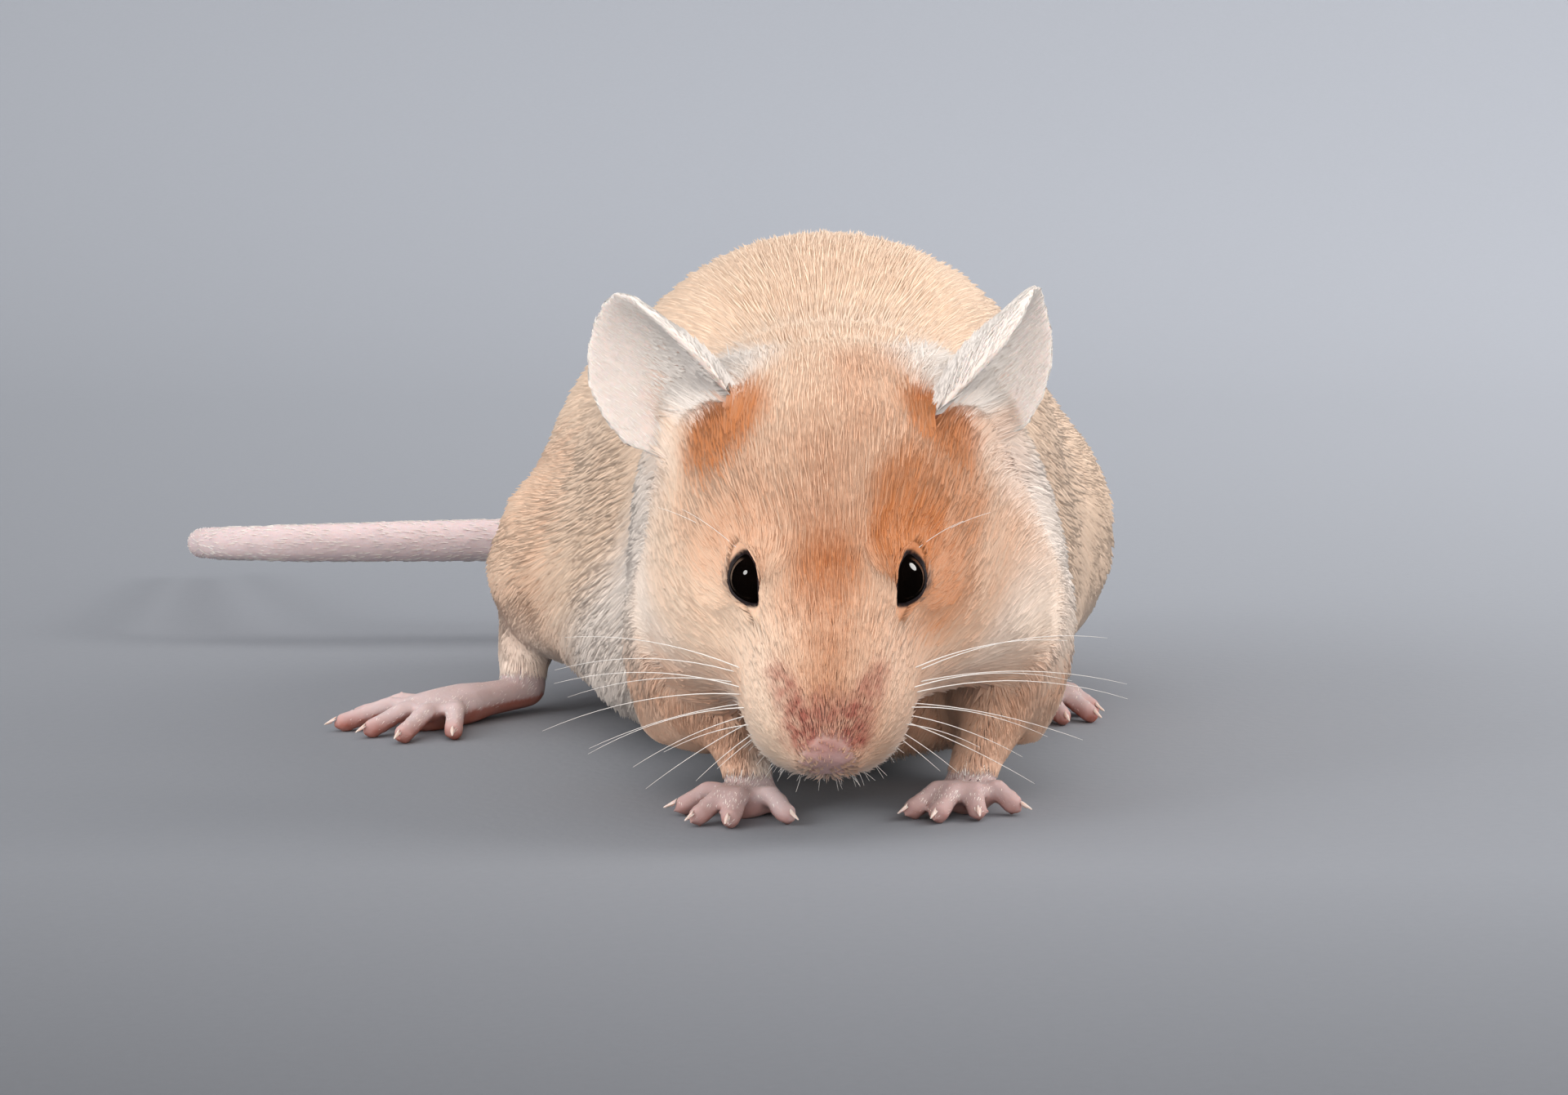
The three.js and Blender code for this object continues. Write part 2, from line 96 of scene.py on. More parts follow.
THICK_COATED = ("neck", "trunk", "hindleg")
BARE = ("forepaw", "hindfoot", "ear", "tail")


def in_region(region, *names):
    return np.isin(region, [REGION_NAMES.index(name) for name in names])


def ramp(low, high, values):
    """0 at low, 1 at high, smooth between."""
    t = np.clip((values - low) / (high - low), 0, 1)
    return t * t * (3 - 2 * t)


def fall(low, high, values):
    """1 at low, 0 at high, smooth between."""
    return 1 - ramp(low, high, values)


def blend(first, second, share):
    return first * (1 - share) + second * share


def distance(points, place):
    return np.linalg.norm(points - place, axis=-1)


def unit(vectors):
    return vectors / np.maximum(np.linalg.norm(vectors, axis=-1, keepdims=True), 1e-12)


def dot(a, b):
    return (a * b).sum(-1)


def along_surface(directions, normals):
    """The directions turned to lie in the surface."""
    return unit(directions - dot(directions, normals)[..., None] * normals)


def in_head(points):
    """How far each point is back, up and out from the nose tip."""
    offset = points - NOSE_TIP
    return offset @ BACK, offset @ UP, offset @ OUT


def node_centre(node):
    low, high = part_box(node)
    return np.array((low + high) / 2) / MM


def metres(place):
    return Vector((place * MM).tolist())


# ---- Meshes as arrays ----
def read(items, field, width, kind=np.float32):
    """A field of many items as an array, with a row for each."""
    flat = np.empty(len(items) * width, kind)
    items.foreach_get(field, flat)
    return flat.reshape(-1, width)


def coordinates(mesh):
    return read(mesh.vertices, "co", 3).astype(float) / MM


def set_coordinates(mesh, points):
    mesh.vertices.foreach_set("co", (points * MM).astype(np.float32).ravel())
    mesh.update()


def vertex_normals(mesh):
    return read(mesh.vertex_normals, "vector", 3).astype(float)


def new_object(name, mesh):
    made = bpy.data.objects.new(name, mesh)
    bpy.context.scene.collection.objects.link(made)
    return made


def remove(thing):
    mesh = thing.data
    bpy.data.objects.remove(thing)
    bpy.data.meshes.remove(mesh)


def modified(mesh, kind, **settings):
    """The mesh that a modifier makes of a mesh, in place of it."""
    thing = new_object("work", mesh)
    modifier = thing.modifiers.new("Work", kind)
    for key, value in settings.items():
        setattr(modifier, key, value)
    graph = bpy.context.evaluated_depsgraph_get()
    made = bpy.data.meshes.new_from_object(thing.evaluated_get(graph), depsgraph=graph)
    remove(thing)
    return made


def opened(mesh):
    made = bmesh.new()
    made.from_mesh(mesh)
    return made


def closed(made, mesh):
    """Put an edited mesh back, or keep it under a new name."""
    if isinstance(mesh, str):
        mesh = bpy.data.meshes.new(mesh)
    made.to_mesh(mesh)
    made.free()
    return mesh


def smooth_shaded(mesh):
    mesh.polygons.foreach_set("use_smooth", np.ones(len(mesh.polygons), bool))
    return mesh


def store(mesh, name, values, kind="FLOAT_COLOR"):
    """Keep a value or a colour at each vertex."""
    field = {"FLOAT_COLOR": "color", "FLOAT": "value"}[kind]
    layer = mesh.attributes.new(name, kind, "POINT")
    layer.data.foreach_set(field, values.astype(np.float32).ravel())


class Net:
    """The edges of a mesh, to average a value over each vertex's neighbours."""

    def __init__(self, mesh):
        pairs = read(mesh.edges, "vertices", 2, np.int32)
        both = np.vstack([pairs, pairs[:, ::-1]])
        both = both[np.argsort(both[:, 0], kind="stable")]
        self.ends = both[:, 1]
        self.counts = np.bincount(both[:, 0], minlength=len(mesh.vertices))
        self.starts = np.r_[0, np.cumsum(self.counts)[:-1]]

    def mean(self, values):
        sums = np.add.reduceat(values[self.ends], self.starts, axis=0)
        return sums / (self.counts if values.ndim == 1 else self.counts[:, None])

    def spread(self, values, rounds):
        for _ in range(rounds):
            values = (values + self.mean(values)) / 2
        return values


class Surface:
    """Finds the nearest place on a triangulated mesh, and what its vertices carry there."""

    def __init__(self, mesh):
        self.points = coordinates(mesh)
        self.faces = read(mesh.loops, "vertex_index", 1, np.int32).reshape(-1, 3)
        self.tree = BVHTree.FromPolygons(self.points.tolist(), self.faces.tolist())

    def nearest(self, points):
        find = self.tree.find_nearest
        found = [find(point) for point in points.tolist()]
        places = np.array([hit[0][:] for hit in found])
        return places, np.array([hit[2] for hit in found])

    def corners(self, faces=slice(None)):
        return (self.points[self.faces[faces, i]] for i in range(3))

    def facing(self):
        """Each triangle's direction, as long as twice its area."""
        a, b, c = self.corners()
        return np.cross(b - a, c - a)

    def weights(self, places, faces):
        """Each place's share of its triangle's three corners."""
        a, b, c = self.corners(faces)
        whole = np.cross(b - a, c - a)
        area = np.maximum(dot(whole, whole), 1e-18)
        second = dot(np.cross(places - a, c - a), whole) / area
        third = dot(np.cross(b - a, places - a), whole) / area
        shares = np.clip(np.stack([1 - second - third, second, third], -1), 0, 1)
        return shares / shares.sum(-1, keepdims=True)

    def carried(self, values, faces, shares):
        picked = values[self.faces[faces]]
        return (picked * shares.reshape(shares.shape + (1,) * (values.ndim - 1))).sum(1)


# ---- Eyes: where they are, and how far a direction is from the opening of the lids ----
EYE_RADIUS = 1.8
EYES = {
    side: {
        "centre": node_centre(f"{side}_eye"),
        "ahead": unit(0.64 * sign * OUT + 0.6 * UP - 0.3 * BACK),
    }
    for side, sign in (("right", -1), ("left", 1))
}
for eye in EYES.values():
    eye["long"] = along_surface(BACK, eye["ahead"])
    eye["short"] = np.cross(eye["ahead"], eye["long"])
LID_LONG = math.radians(64)
LID_SHORT = math.radians(42)
LID_POWER = 1.75


def lid_distance(eye, points):
    """1 on the lids' edge and less in the opening; then each point's direction and distance."""
    offset = points - eye["centre"]
    far = np.linalg.norm(offset, axis=-1)
    way = offset / np.maximum(far, 1e-9)[..., None]
    tilt = np.arccos(np.clip(way @ eye["ahead"], -1, 1))
    x, y = way @ eye["long"], way @ eye["short"]
    flat = np.maximum(np.hypot(x, y), 1e-9)
    x, y = tilt * x / flat / LID_LONG, np.abs(tilt * y / flat) / LID_SHORT
    corner = np.clip(-x, 0, 1.2)
    x, y = np.abs(x) * (1 - 0.1 * corner), y * (1 + 0.3 * corner**2)
    return (x**LID_POWER + y**LID_POWER) ** (1 / LID_POWER), way, far


# ---- The lie, length, width and thickness of the coat over the body ----
DEPTH, LENGTH, WIDTH, DENSITY, ROUNDS = range(5)
# depth of the coat, length of hair, width of a tuft, tufts on a square millimetre, rounds of smoothing
COAT = {
    "head": (0.95, 2.5, 0.062, 84, 18),
    "neck": (1.25, 3.2, 0.068, 54, 50),
    "trunk": (1.4, 3.6, 0.074, 30, 60),
    "foreleg": (0.8, 1.9, 0.065, 56, 24),
    "hindleg": (1.25, 3.0, 0.076, 36, 40),
    "forepaw": (0.0, 0.6, 0.04, 14, 4),
    "hindfoot": (0.0, 0.7, 0.04, 9, 4),
    "ear": (0.1, 0.8, 0.045, 12, 8),
    "tail": (0.08, 0.9, 0.04, 3, 8),
}
FACE_COAT = (0.62, 1.8, 0.058, 98, 12)
MUZZLE_COAT = (0.34, 1.25, 0.055, 112, 8)
EAR_ROOT_COAT = (0.35, 2.0, 0.05, 60, 8)
# the height below which a leg's coat gets short, and that short coat
LOW_LEGS = {"foreleg": (6.5, (0.3, 1.1, 0.055, 72, 10)), "hindleg": (11.0, (0.2, 1.2, 0.06, 54, 12))}
# how far back the tail runs before it turns to the side
TAIL_TURN = 38


def regions(points):
    """Which region of the body each point belongs to."""
    vertices, polygons, owners = [], [], []
    for node, region in REGION_OF.items():
        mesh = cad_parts[node].data
        start = len(vertices)
        vertices.extend(coordinates(mesh).tolist())
        polygons.extend([start + i for i in face.vertices] for face in mesh.polygons)
        owners.extend([region] * len(mesh.polygons))
    find = BVHTree.FromPolygons(vertices, polygons).find_nearest
    return np.array([owners[find(point)[2]] for point in points.tolist()])


def coat_fields(points, region, net, rounds):
    """The five values of the coat at each vertex, flowing from region to region."""
    fields = np.array([COAT[name] for name in REGION_NAMES], float)[region]
    back, _, out = in_head(points)
    head = in_region(region, "head")
    zones = [
        (fall(5, 17, back + 0.35 * np.abs(out)) * head, FACE_COAT),
        (fall(2.5, 8.5, back + 0.2 * np.abs(out)) * head, MUZZLE_COAT),
    ]
    for root, _, _ in EAR_POSES.values():
        zones.append((in_region(region, "ear") * fall(2.5, 6.0, distance(points, root)), EAR_ROOT_COAT))
    for leg, (top, coat) in LOW_LEGS.items():
        zones.append((in_region(region, leg) * fall(3, top, points[:, 2]), coat))
    for amount, coat in zones:
        fields += amount[:, None] * (np.array(coat) - fields)
    fields = net.spread(fields, rounds)
    for eye in EYES.values():
        lids, _, far = lid_distance(eye, points)
        near = fall(EYE_RADIUS * 1.05, EYE_RADIUS * 2.2, far)
        off_ball = ramp(EYE_RADIUS + 0.2, EYE_RADIUS + 0.35, far)
        fields[:, DEPTH] *= 1 - 0.62 * near
        fields[:, LENGTH] *= 1 - 0.35 * near
        fields[:, DENSITY] *= (1 + 0.3 * near) * ramp(1.0, 1.08, lids + 9 * off_ball)
    return fields


def lie_of_coat(points, normals, region):
    """The direction in which the hair lies, in the surface."""
    from_nose = unit(points - (NOSE_TIP + 2.5 * BACK - 0.5 * UP))
    head = unit(0.75 * from_nose + 0.75 * BACK)
    flank = np.abs(normals[:, 0])[:, None]
    body = unit(np.array([0, 1.0, -0.12]) + flank * np.array([0, -0.1, -0.55]))
    rump = ramp(8, 22, points[:, 1])[:, None]
    body = unit(blend(body, unit(TAIL_ROOT - points) + np.array([0, 0.3, -0.5]), 0.8 * rump))
    at_tail = fall(3.5, 8, distance(points, TAIL_ROOT))[:, None]
    body = blend(body, np.array([0, 1.0, -0.3]), at_tail)
    behind = ramp(-40, -31, points[:, 1] + 0.1 * points[:, 2])[:, None]
    way = blend(head, body, behind)
    limb = in_region(region, "foreleg") * fall(5, 13, points[:, 2])
    shin = in_region(region, "hindleg") * fall(4, 9, points[:, 2])
    way = blend(way, np.array([0, -0.25, -1.0]), np.clip(limb + shin, 0, 1)[:, None])
    feet = in_region(region, "forepaw", "hindfoot")[:, None]
    way = np.where(feet, np.array([-0.2, -1.0, -0.3]), way)
    along_tail = np.where(points[:, 1:2] > TAIL_TURN, np.array([-0.12, 1.0, -0.1]), [-1.0, 0.2, 0])
    way = np.where(in_region(region, "tail")[:, None], along_tail, way)
    outward = np.where(points[:, :1] < 0, EAR_POSES["right"][1], EAR_POSES["left"][1])
    way = np.where(in_region(region, "ear")[:, None], outward, way)
    way = way + 0.8 * ear_tuft(points)[:, None] * outward
    for eye in EYES.values():
        near = fall(2.0, 4.2, distance(points, eye["centre"]))[:, None]
        way = way + 0.9 * near * unit(points - eye["centre"])
    return along_surface(way, normals)


# ---- Colour marks and painted shade, shared by the skin and the coat. In the head, places and radii are back, up and out ----
# how deep the orange is along the bridge of the nose, and how far it spreads to each side
BRIDGE_DEPTH = ((0.5, 2.5, 6.0, 9.5, 13.0, 19.0, 27.0), (0.4, 0.68, 0.62, 0.97, 0.55, 0.27, 0.06))
BRIDGE_WIDTH = ((0.0, 5.0, 10.0, 14.0, 20.0), (1.9, 2.7, 3.6, 5.6, 8.0))
# orange patches in front of the ears and round the eyes: middle, radii and depth. Round the eyes they are
# deeper on the mouse's left (out above 0), and one stands there alone: that extra depth is painted shade on
# the side turned away from the main lights.
EAR_PATCH, EYE_PATCH = (4.8, 5.2, 4.0), (6.0, 4.5, 4.2)
ORANGE_PATCHES = (
    ((19.9, 5.4, -6.6), EAR_PATCH, 1.0), ((20.3, 4.8, 7.2), EAR_PATCH, 1.0),
    ((15.0, 3.6, -7.0), EYE_PATCH, 0.36), ((15.2, 3.4, 8.2), EYE_PATCH, 0.78),
    ((13.2, 5.2, 5.2), EYE_PATCH, 0.95), ((9.5, 2.2, 7.0), EYE_PATCH, 0.8),
    ((13.2, 5.2, -5.2), EYE_PATCH, 0.48),
)
HAUNCH = np.array([-22, -2, 12.0])
EAR_TUFTS = ((26.4, 3.6, -7.0), (26.8, 3.6, 7.9))
EAR_TUFT_RADII = (4.4, 4.4, 4.6)
# the red wing beside each nostril: where it starts and how far it runs, back and to the side
WING_START, WING_RUN = (0.4, 1.2), (3.5, 1.7)
WAVES = 5
# behind this the paws are hind feet
HIND_FROM = -34


def spot(points, centre, radii):
    """1 in the middle of a soft round patch, 0 outside it."""
    far = np.sqrt(sum(((a - c) / r) ** 2 for a, c, r in zip(in_head(points), centre, radii)))
    return fall(0.45, 1.25, far)


def fawn_colours_and_painted_shade(points):
    """Deep orange, pale cream and bare pink at each point, each from 0 to 1; the orange and cream also
    carry painted shade.
    """
    back, up, out = in_head(points)
    side, high = np.abs(out), points[:, 2]
    head = fall(24, 31, back)
    width = np.interp(back, *BRIDGE_WIDTH)
    orange = np.interp(back, *BRIDGE_DEPTH) * np.exp(-((side / width) ** 2)) * ramp(-1.5, 2.0, up)
    for centre, radii, depth in ORANGE_PATCHES:
        orange = np.maximum(orange, depth * spot(points, centre, radii))
    # a light orange over the whole head, rising towards the mouse's left (out above 0): the rise is painted
    # shade on the side turned away from the main lights
    orange = np.maximum(orange, (0.14 + 0.3 * ramp(-1, 2, out)) * head * ramp(-8, -2, up))
    orange = np.clip(orange * head, 0, 1)
    # the cheeks are pale, less so towards the mouse's left: painted shade on the side turned away from the
    # main lights
    cheek = ramp(4.5, 8.5, side) * fall(-3.0, 2.0, up) * head * (1 - 0.6 * ramp(-1, 3, out))
    pads = fall(4.5, 9, back) * ramp(1.8, 4.0, side) * head
    throat = fall(-5, -2, up) * head
    ruff = ramp(17, 22, back) * ramp(7.5, 10.5, side) * head
    lips = fall(-2.4, -0.8, up) * fall(6, 10, back) * head
    shins = fall(6, 12, high) * ramp(14, 17, np.abs(points[:, 0])) * (1 - head)
    belly = fall(2, 9, high) * (1 - head) * ramp(-33, -28, points[:, 1])
    pale = 0.14 * cheek + 0.12 * pads + 0.4 * throat + 0.5 * ruff + 0.25 * belly + 0.4 * lips + 0.3 * shins
    pale = np.maximum(np.clip(pale, 0, 0.75), ear_tuft(points))
    haunch = fall(8, 14, distance(points, HAUNCH)) * 0.24
    # the forearms under the head are deeper orange and less pale: partly their own pinkish orange, partly
    # painted shade of the head above them
    arms = ramp(3.4, 5.4, np.abs(points[:, 0])) * fall(8, 12, high)
    arms *= ramp(-52, -49, points[:, 1]) * fall(-33, -29, points[:, 1])
    pale *= 1 - 0.8 * arms
    bare = np.maximum(0.3 * nose_pad(points), nose_wings(points))
    return np.maximum.reduce([orange, haunch, 0.62 * arms]), pale, bare


def ear_tuft(points):
    """1 where the long white hair grows at the root of each ear."""
    return np.maximum(*(spot(points, centre, EAR_TUFT_RADII) for centre in EAR_TUFTS))


def nose_pad(points):
    """1 on the bare end of the nose."""
    back, up, out = in_head(points)
    far = np.sqrt((out / 1.95) ** 2 + ((back + 0.1) / 1.9) ** 2 + ((up + 0.1) / 2.4) ** 2)
    return fall(0.8, 1.12, far)


def nose_wings(points):
    """1 on the thinly haired red skin that runs up and out from each nostril."""
    back, up, out = in_head(points)
    back_on, side_on = back - WING_START[0], np.abs(out) - WING_START[1]
    run_back, run_side = WING_RUN
    share = np.clip((back_on * run_back + side_on * run_side) / (run_back**2 + run_side**2), 0, 1)
    far = np.hypot(back_on - run_back * share, side_on - run_side * share)
    wings = fall(0.25, 1.35 - 0.5 * share, far) * ramp(-0.4, 0.8, up) * (1 - 0.5 * share)
    return np.maximum(wings, 0.75 * spot(points, (0.9, 2.1, 0.1), (2.0, 1.8, 2.2)))


def ripples(points, size, seed):
    """A smooth wandering direction at each point, from -1 to 1 in each axis."""
    chance = np.random.default_rng(seed)
    total = np.zeros_like(points)
    for _ in range(WAVES):
        turn = chance.normal(size=(3, 3)) / size
        total += np.sin(points @ turn + chance.uniform(0, 2 * math.pi, 3))
    return total / WAVES


# ---- Skin ----
VOXEL = 0.3
# rounds in which the coat's values flow from region to region, on the fine flesh and on the skin
FLESH_FLOW, SKIN_FLOW = 30, 6
# how far the solids are swollen, so that they fuse
FLESH_GROWTH, THIN_GROWTH, EYE_GROWTH = 0.22, 0.16, 0.2
# the skin is divided twice within this distance of the nose and the eyes
FINE_REACH, FINE_CUTS = 3.6, 2
# each nostril is a comma that runs out, up and back along the edge of the pad: side, back and up
NOSTRIL_START, NOSTRIL_RUN = np.array([0.95, -0.3, -0.55]), np.array([0.85, 1.0, 0.6])
# how far the pad stands out, and how deep the nostrils, the groove of the lip and the mouth are
PAD_RISE, NOSTRIL_DEPTH, GROOVE_DEPTH, MOUTH_DEPTH = 0.16, 0.62, 0.24, 0.5
# how deep the skin lies on the nose pad, and how much deeper than the coat under the muzzle
PAD_INSET, MUZZLE_INSET = 0.15, 0.4
# the lids' rim: its gap from the ball, its height, where it is highest and its width
RIM_GAP, RIM_HEIGHT, RIM_AT, RIM_WIDTH = 0.03, 0.13, 1.06, 0.07
MERGED = 1e-6


def grown_copy(whole, node, growth):
    """Add a copy of a solid, swollen by growth, to a mesh."""
    part = opened(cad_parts[node].data)
    bmesh.ops.remove_doubles(part, verts=part.verts, dist=MERGED)
    part.normal_update()
    for vert in part.verts:
        vert.co += vert.normal * (growth * MM)
    add_to(whole, part)


def add_to(whole, part):
    mesh = closed(part, "part")
    whole.from_mesh(mesh)
    bpy.data.meshes.remove(mesh)


def fused_flesh():
    """All the flesh as one closed mesh of even, fine faces."""
    whole = bmesh.new()
    for node in FLESH:
        grown_copy(whole, node, THIN_GROWTH if REGION_NAMES[REGION_OF[node]] in BARE else FLESH_GROWTH)
    for side in SIDES:
        grown_copy(whole, f"{side}_eye", EYE_GROWTH)
    return modified(closed(whole, "flesh"), "REMESH", mode="VOXEL", voxel_size=VOXEL * MM)


def relaxed(points, net, rounds):
    """Smooth the mesh, each vertex for its own number of rounds."""
    for i in range(int(rounds.max())):
        share = 0.5 * np.clip(rounds - i, 0, 1)[:, None]
        points = points + share * (net.mean(points) - points)
    return points


def refine(mesh, centres):
    """Divide the faces near some places."""
    made = opened(mesh)
    for cut in range(FINE_CUTS):
        near = FINE_REACH * (1 - 0.3 * cut) * MM
        inside = {vert for centre in centres for vert in made.verts if (vert.co - centre).length < near}
        edges = [edge for edge in made.edges if edge.verts[0] in inside and edge.verts[1] in inside]
        bmesh.ops.subdivide_edges(made, edges=edges, cuts=1, use_grid_fill=True)
    closed(made, mesh)


def smooth_highest(a, b, soft):
    share = np.clip(0.5 + 0.5 * (a - b) / soft, 0, 1)
    return b + (a - b) * share + soft * share * (1 - share)


def with_lids(points):
    """Open the skin over the eyes, with a rim that lies on the eyeball."""
    for eye in EYES.values():
        lids, way, far = lid_distance(eye, points)
        near = (far < 5) & (way @ eye["ahead"] > -0.2)
        # where the skin stands higher than the lids' edge it slopes down to it
        tilt = np.arccos(np.clip(way @ eye["ahead"], -1, 1))
        edge = tilt / np.maximum(lids, 1e-3)
        high = far * np.cos(tilt)
        beyond = np.maximum(far * np.sin(tilt) - EYE_RADIUS * np.sin(edge), 0)
        slope = EYE_RADIUS * np.cos(edge) + 0.08 + 0.42 * beyond
        lowered = -smooth_highest(-high, -slope, 0.16)
        points = points + (near * (lowered - high))[:, None] * eye["ahead"]
        lids, way, far = lid_distance(eye, points)
        rim = EYE_RADIUS + RIM_GAP + RIM_HEIGHT * np.exp(-(((lids - RIM_AT) / RIM_WIDTH) ** 2))
        outside = smooth_highest(far, rim, 0.12)
        opening = ramp(1.0, 0.86, lids)
        reach = outside + (0.86 * EYE_RADIUS - outside) * opening
        points = np.where(near[:, None], eye["centre"] + way * reach[:, None], points)
    return points


def with_nose(points, normals):
    """Shape the nose pad, nostrils, lip groove and mouth."""
    back, up, out = in_head(points)
    push = PAD_RISE * nose_pad(points)
    place = np.stack([np.abs(out), back, up], -1) - NOSTRIL_START
    share = np.clip(place @ NOSTRIL_RUN / (NOSTRIL_RUN @ NOSTRIL_RUN), 0, 1)
    far = np.linalg.norm(place - share[:, None] * NOSTRIL_RUN, axis=1)
    push -= NOSTRIL_DEPTH * np.exp(-((far / (0.24 - 0.08 * share)) ** 2))
    groove = np.exp(-((out / 0.15) ** 2)) * fall(-1.3, -0.6, up) * fall(0.5, 2.2, back)
    push -= GROOVE_DEPTH * (groove * ramp(-3.2, -2.2, up))
    lips = -3.1 - 0.16 * back
    mouth = np.exp(-(((up - lips) / 0.22) ** 2)) * ramp(0, 1.0, back) * fall(5.5, 7.5, back) * (up < 0)
    push -= MOUTH_DEPTH * mouth
    return points + normals * push[:, None]


def build_skin(settings):
    """The skin's object: the fused flesh, drawn in by the coat's depth, with the face shaped into it."""
    mesh = fused_flesh()
    points, net = coordinates(mesh), Net(mesh)
    region = regions(points)
    fields = coat_fields(points, region, net, FLESH_FLOW)
    points = relaxed(points, net, net.spread(fields[:, ROUNDS], 6))
    set_coordinates(mesh, points)
    normals = vertex_normals(mesh)
    bare = nose_pad(points)
    back, up, _ = in_head(points)
    under = fall(4, 9, back) * fall(-2.0, 1.5, up) * in_region(region, "head")
    depth = fields[:, DEPTH] * settings.coat_depth
    depth = net.spread(depth * (1 - bare) + PAD_INSET * bare + MUZZLE_INSET * under, 4)
    points = points - normals * depth[:, None]
    points[:, 2] = np.maximum(points[:, 2], 0.0)
    set_coordinates(mesh, points)

    refine(mesh, [metres(NOSE_TIP), *(metres(eye["centre"]) for eye in EYES.values())])
    points = with_nose(coordinates(mesh), vertex_normals(mesh))
    set_coordinates(mesh, with_lids(points))

    triangles = sum(len(face.vertices) - 2 for face in mesh.polygons)
    share = min(1.0, settings.skin_triangles / triangles)
    mesh = modified(mesh, "DECIMATE", ratio=share, use_collapse_triangulate=True)
    mesh.name = "skin"
    solid = opened(mesh)
    bmesh.ops.triangulate(solid, faces=solid.faces)
    return new_object("skin", smooth_shaded(closed(solid, mesh)))


def paint_skin(mesh):
    """Keep the colours, the kinds of skin, and the painted shade and highlight at each vertex."""
    points, normals = coordinates(mesh), vertex_normals(mesh)
    region, net = regions(points), Net(mesh)
    orange, pale, _ = fawn_colours_and_painted_shade(points)
    paws = net.spread(in_region(region, "forepaw", "hindfoot").astype(float), 3)
    ears, tail = (net.spread(in_region(region, name).astype(float), 3) for name in ("ear", "tail"))
    pad, wings = nose_pad(points), nose_wings(points)
    dark = np.zeros(len(points))
    for eye in EYES.values():
        lids, _, far = lid_distance(eye, points)
        rim = fall(1.04, 1.14, lids) * fall(EYE_RADIUS + 0.2, EYE_RADIUS + 0.4, far)
        dark = np.maximum(dark, rim)
    bare = np.clip(np.maximum.reduce([paws, tail, pad, wings]), 0, 1)
    pale = np.maximum.reduce([pale * (1 - pad), tail, 0.6 * pad])
    store(mesh, "markings", np.stack([orange, pale, bare, ears], -1))
    # the soles are red, more so on the hind feet, low by the floor and where the skin faces down: partly
    # the soles' own red skin, partly painted shade under the feet
    hind = np.where(points[:, 1] > HIND_FROM, 1.0, 0.4)
    red = hind * paws * (0.8 * fall(0.5, 1.7, points[:, 2]) + 0.6 * (normals[:, 2] < -0.2))
    red = np.clip(red + 0.9 * wings * (1 - 0.5 * pad) + 0.4 * pad, 0, 1)
    # deep in each ear, where it faces the opening, the skin turns the darker, oranger cup colour: partly
    # the pinker inner skin, partly painted shade in the hollow
    cup = np.zeros(len(points))
    for root, long, opening in EAR_POSES.values():
        deep = distance(points, root + 5.0 * long)
        cup = np.maximum(cup, fall(1.5, 5.6, deep) * ramp(-0.1, 0.4, normals @ opening))
    # where the ear bends sharply, along its edge, it is painted lighter: a painted highlight
    rim = 1 - np.linalg.norm(net.spread(normals, 10), axis=1)
    store(mesh, "details", np.stack([dark, red, cup * ears, ramp(0.15, 0.6, rim) * ears], -1))


# ---- Coat ----
# how far along a tuft its root, middle and tip are, and the four corners of its blade
TUFT_SHARES = np.array([0.0, 0.3, 1.0])
CORNER_SHARES = TUFT_SHARES[[0, 1, 1, 2]]
TUFT_FACES = np.array([[0, 1, 2], [1, 3, 2], [0, 3, 1], [0, 2, 3]])
BAKE_PATCH = 0.003 * np.array([[0, -0.5], [-0.4, 0], [0.4, 0], [0, 0.5]])
UNWRAP_FACES = 9000
TUFT_SEED = 11
# a few tufts stand higher than the rest
WILD_SHARE, WILD_LIFT = 0.04, 1.35
# no hair comes nearer to the floor than this
LOWEST_HAIR = 0.03
# hair may pass over the opening of the lids only this far off the eyeball
EYE_MARGIN = 1.4
# how far the sides of a blade are shaded as if they turned away
BLADE_ROUNDING = 0.35


def skin_unwrap(mesh):
    """A plain copy of the skin, unwrapped, as a surface and the place of each corner on the unwrap."""
    share = UNWRAP_FACES / len(mesh.polygons)
    plain = modified(mesh.copy(), "DECIMATE", ratio=share, use_collapse_triangulate=True)
    flat = new_object("unwrap", plain)
    bpy.context.view_layer.objects.active = flat
    flat.select_set(True)
    bpy.ops.object.mode_set(mode="EDIT")
    bpy.ops.mesh.select_all(action="SELECT")
    bpy.ops.uv.smart_project(angle_limit=1.15, island_margin=0.004)
    bpy.ops.object.mode_set(mode="OBJECT")
    uvs = read(plain.uv_layers.active.data, "uv", 2)
    surface = Surface(plain)
    remove(flat)
    return surface, uvs.reshape(-1, 3, 2).astype(float)


def plant_roots(surface, normals, fields, settings, chance):
    """Spread the roots over the skin by the density of the coat."""
    area = np.linalg.norm(surface.facing(), axis=1) / 2
    wanted = area * fields[surface.faces, DENSITY].mean(1) * settings.coat_density
    filled = np.cumsum(wanted)
    count = int(filled[-1])
    picks = (np.arange(count) + chance.random(count)) * (filled[-1] / count)
    faces = np.minimum(np.searchsorted(filled, picks), len(area) - 1)
    u, v = chance.random(count), chance.random(count)
    flip = u + v > 1
    u, v = np.where(flip, 1 - u, u), np.where(flip, 1 - v, v)
    shares = np.stack([1 - u - v, u, v], -1)
    roots = surface.carried(surface.points, faces, shares)
    return roots, unit(surface.carried(normals, faces, shares)), faces, shares


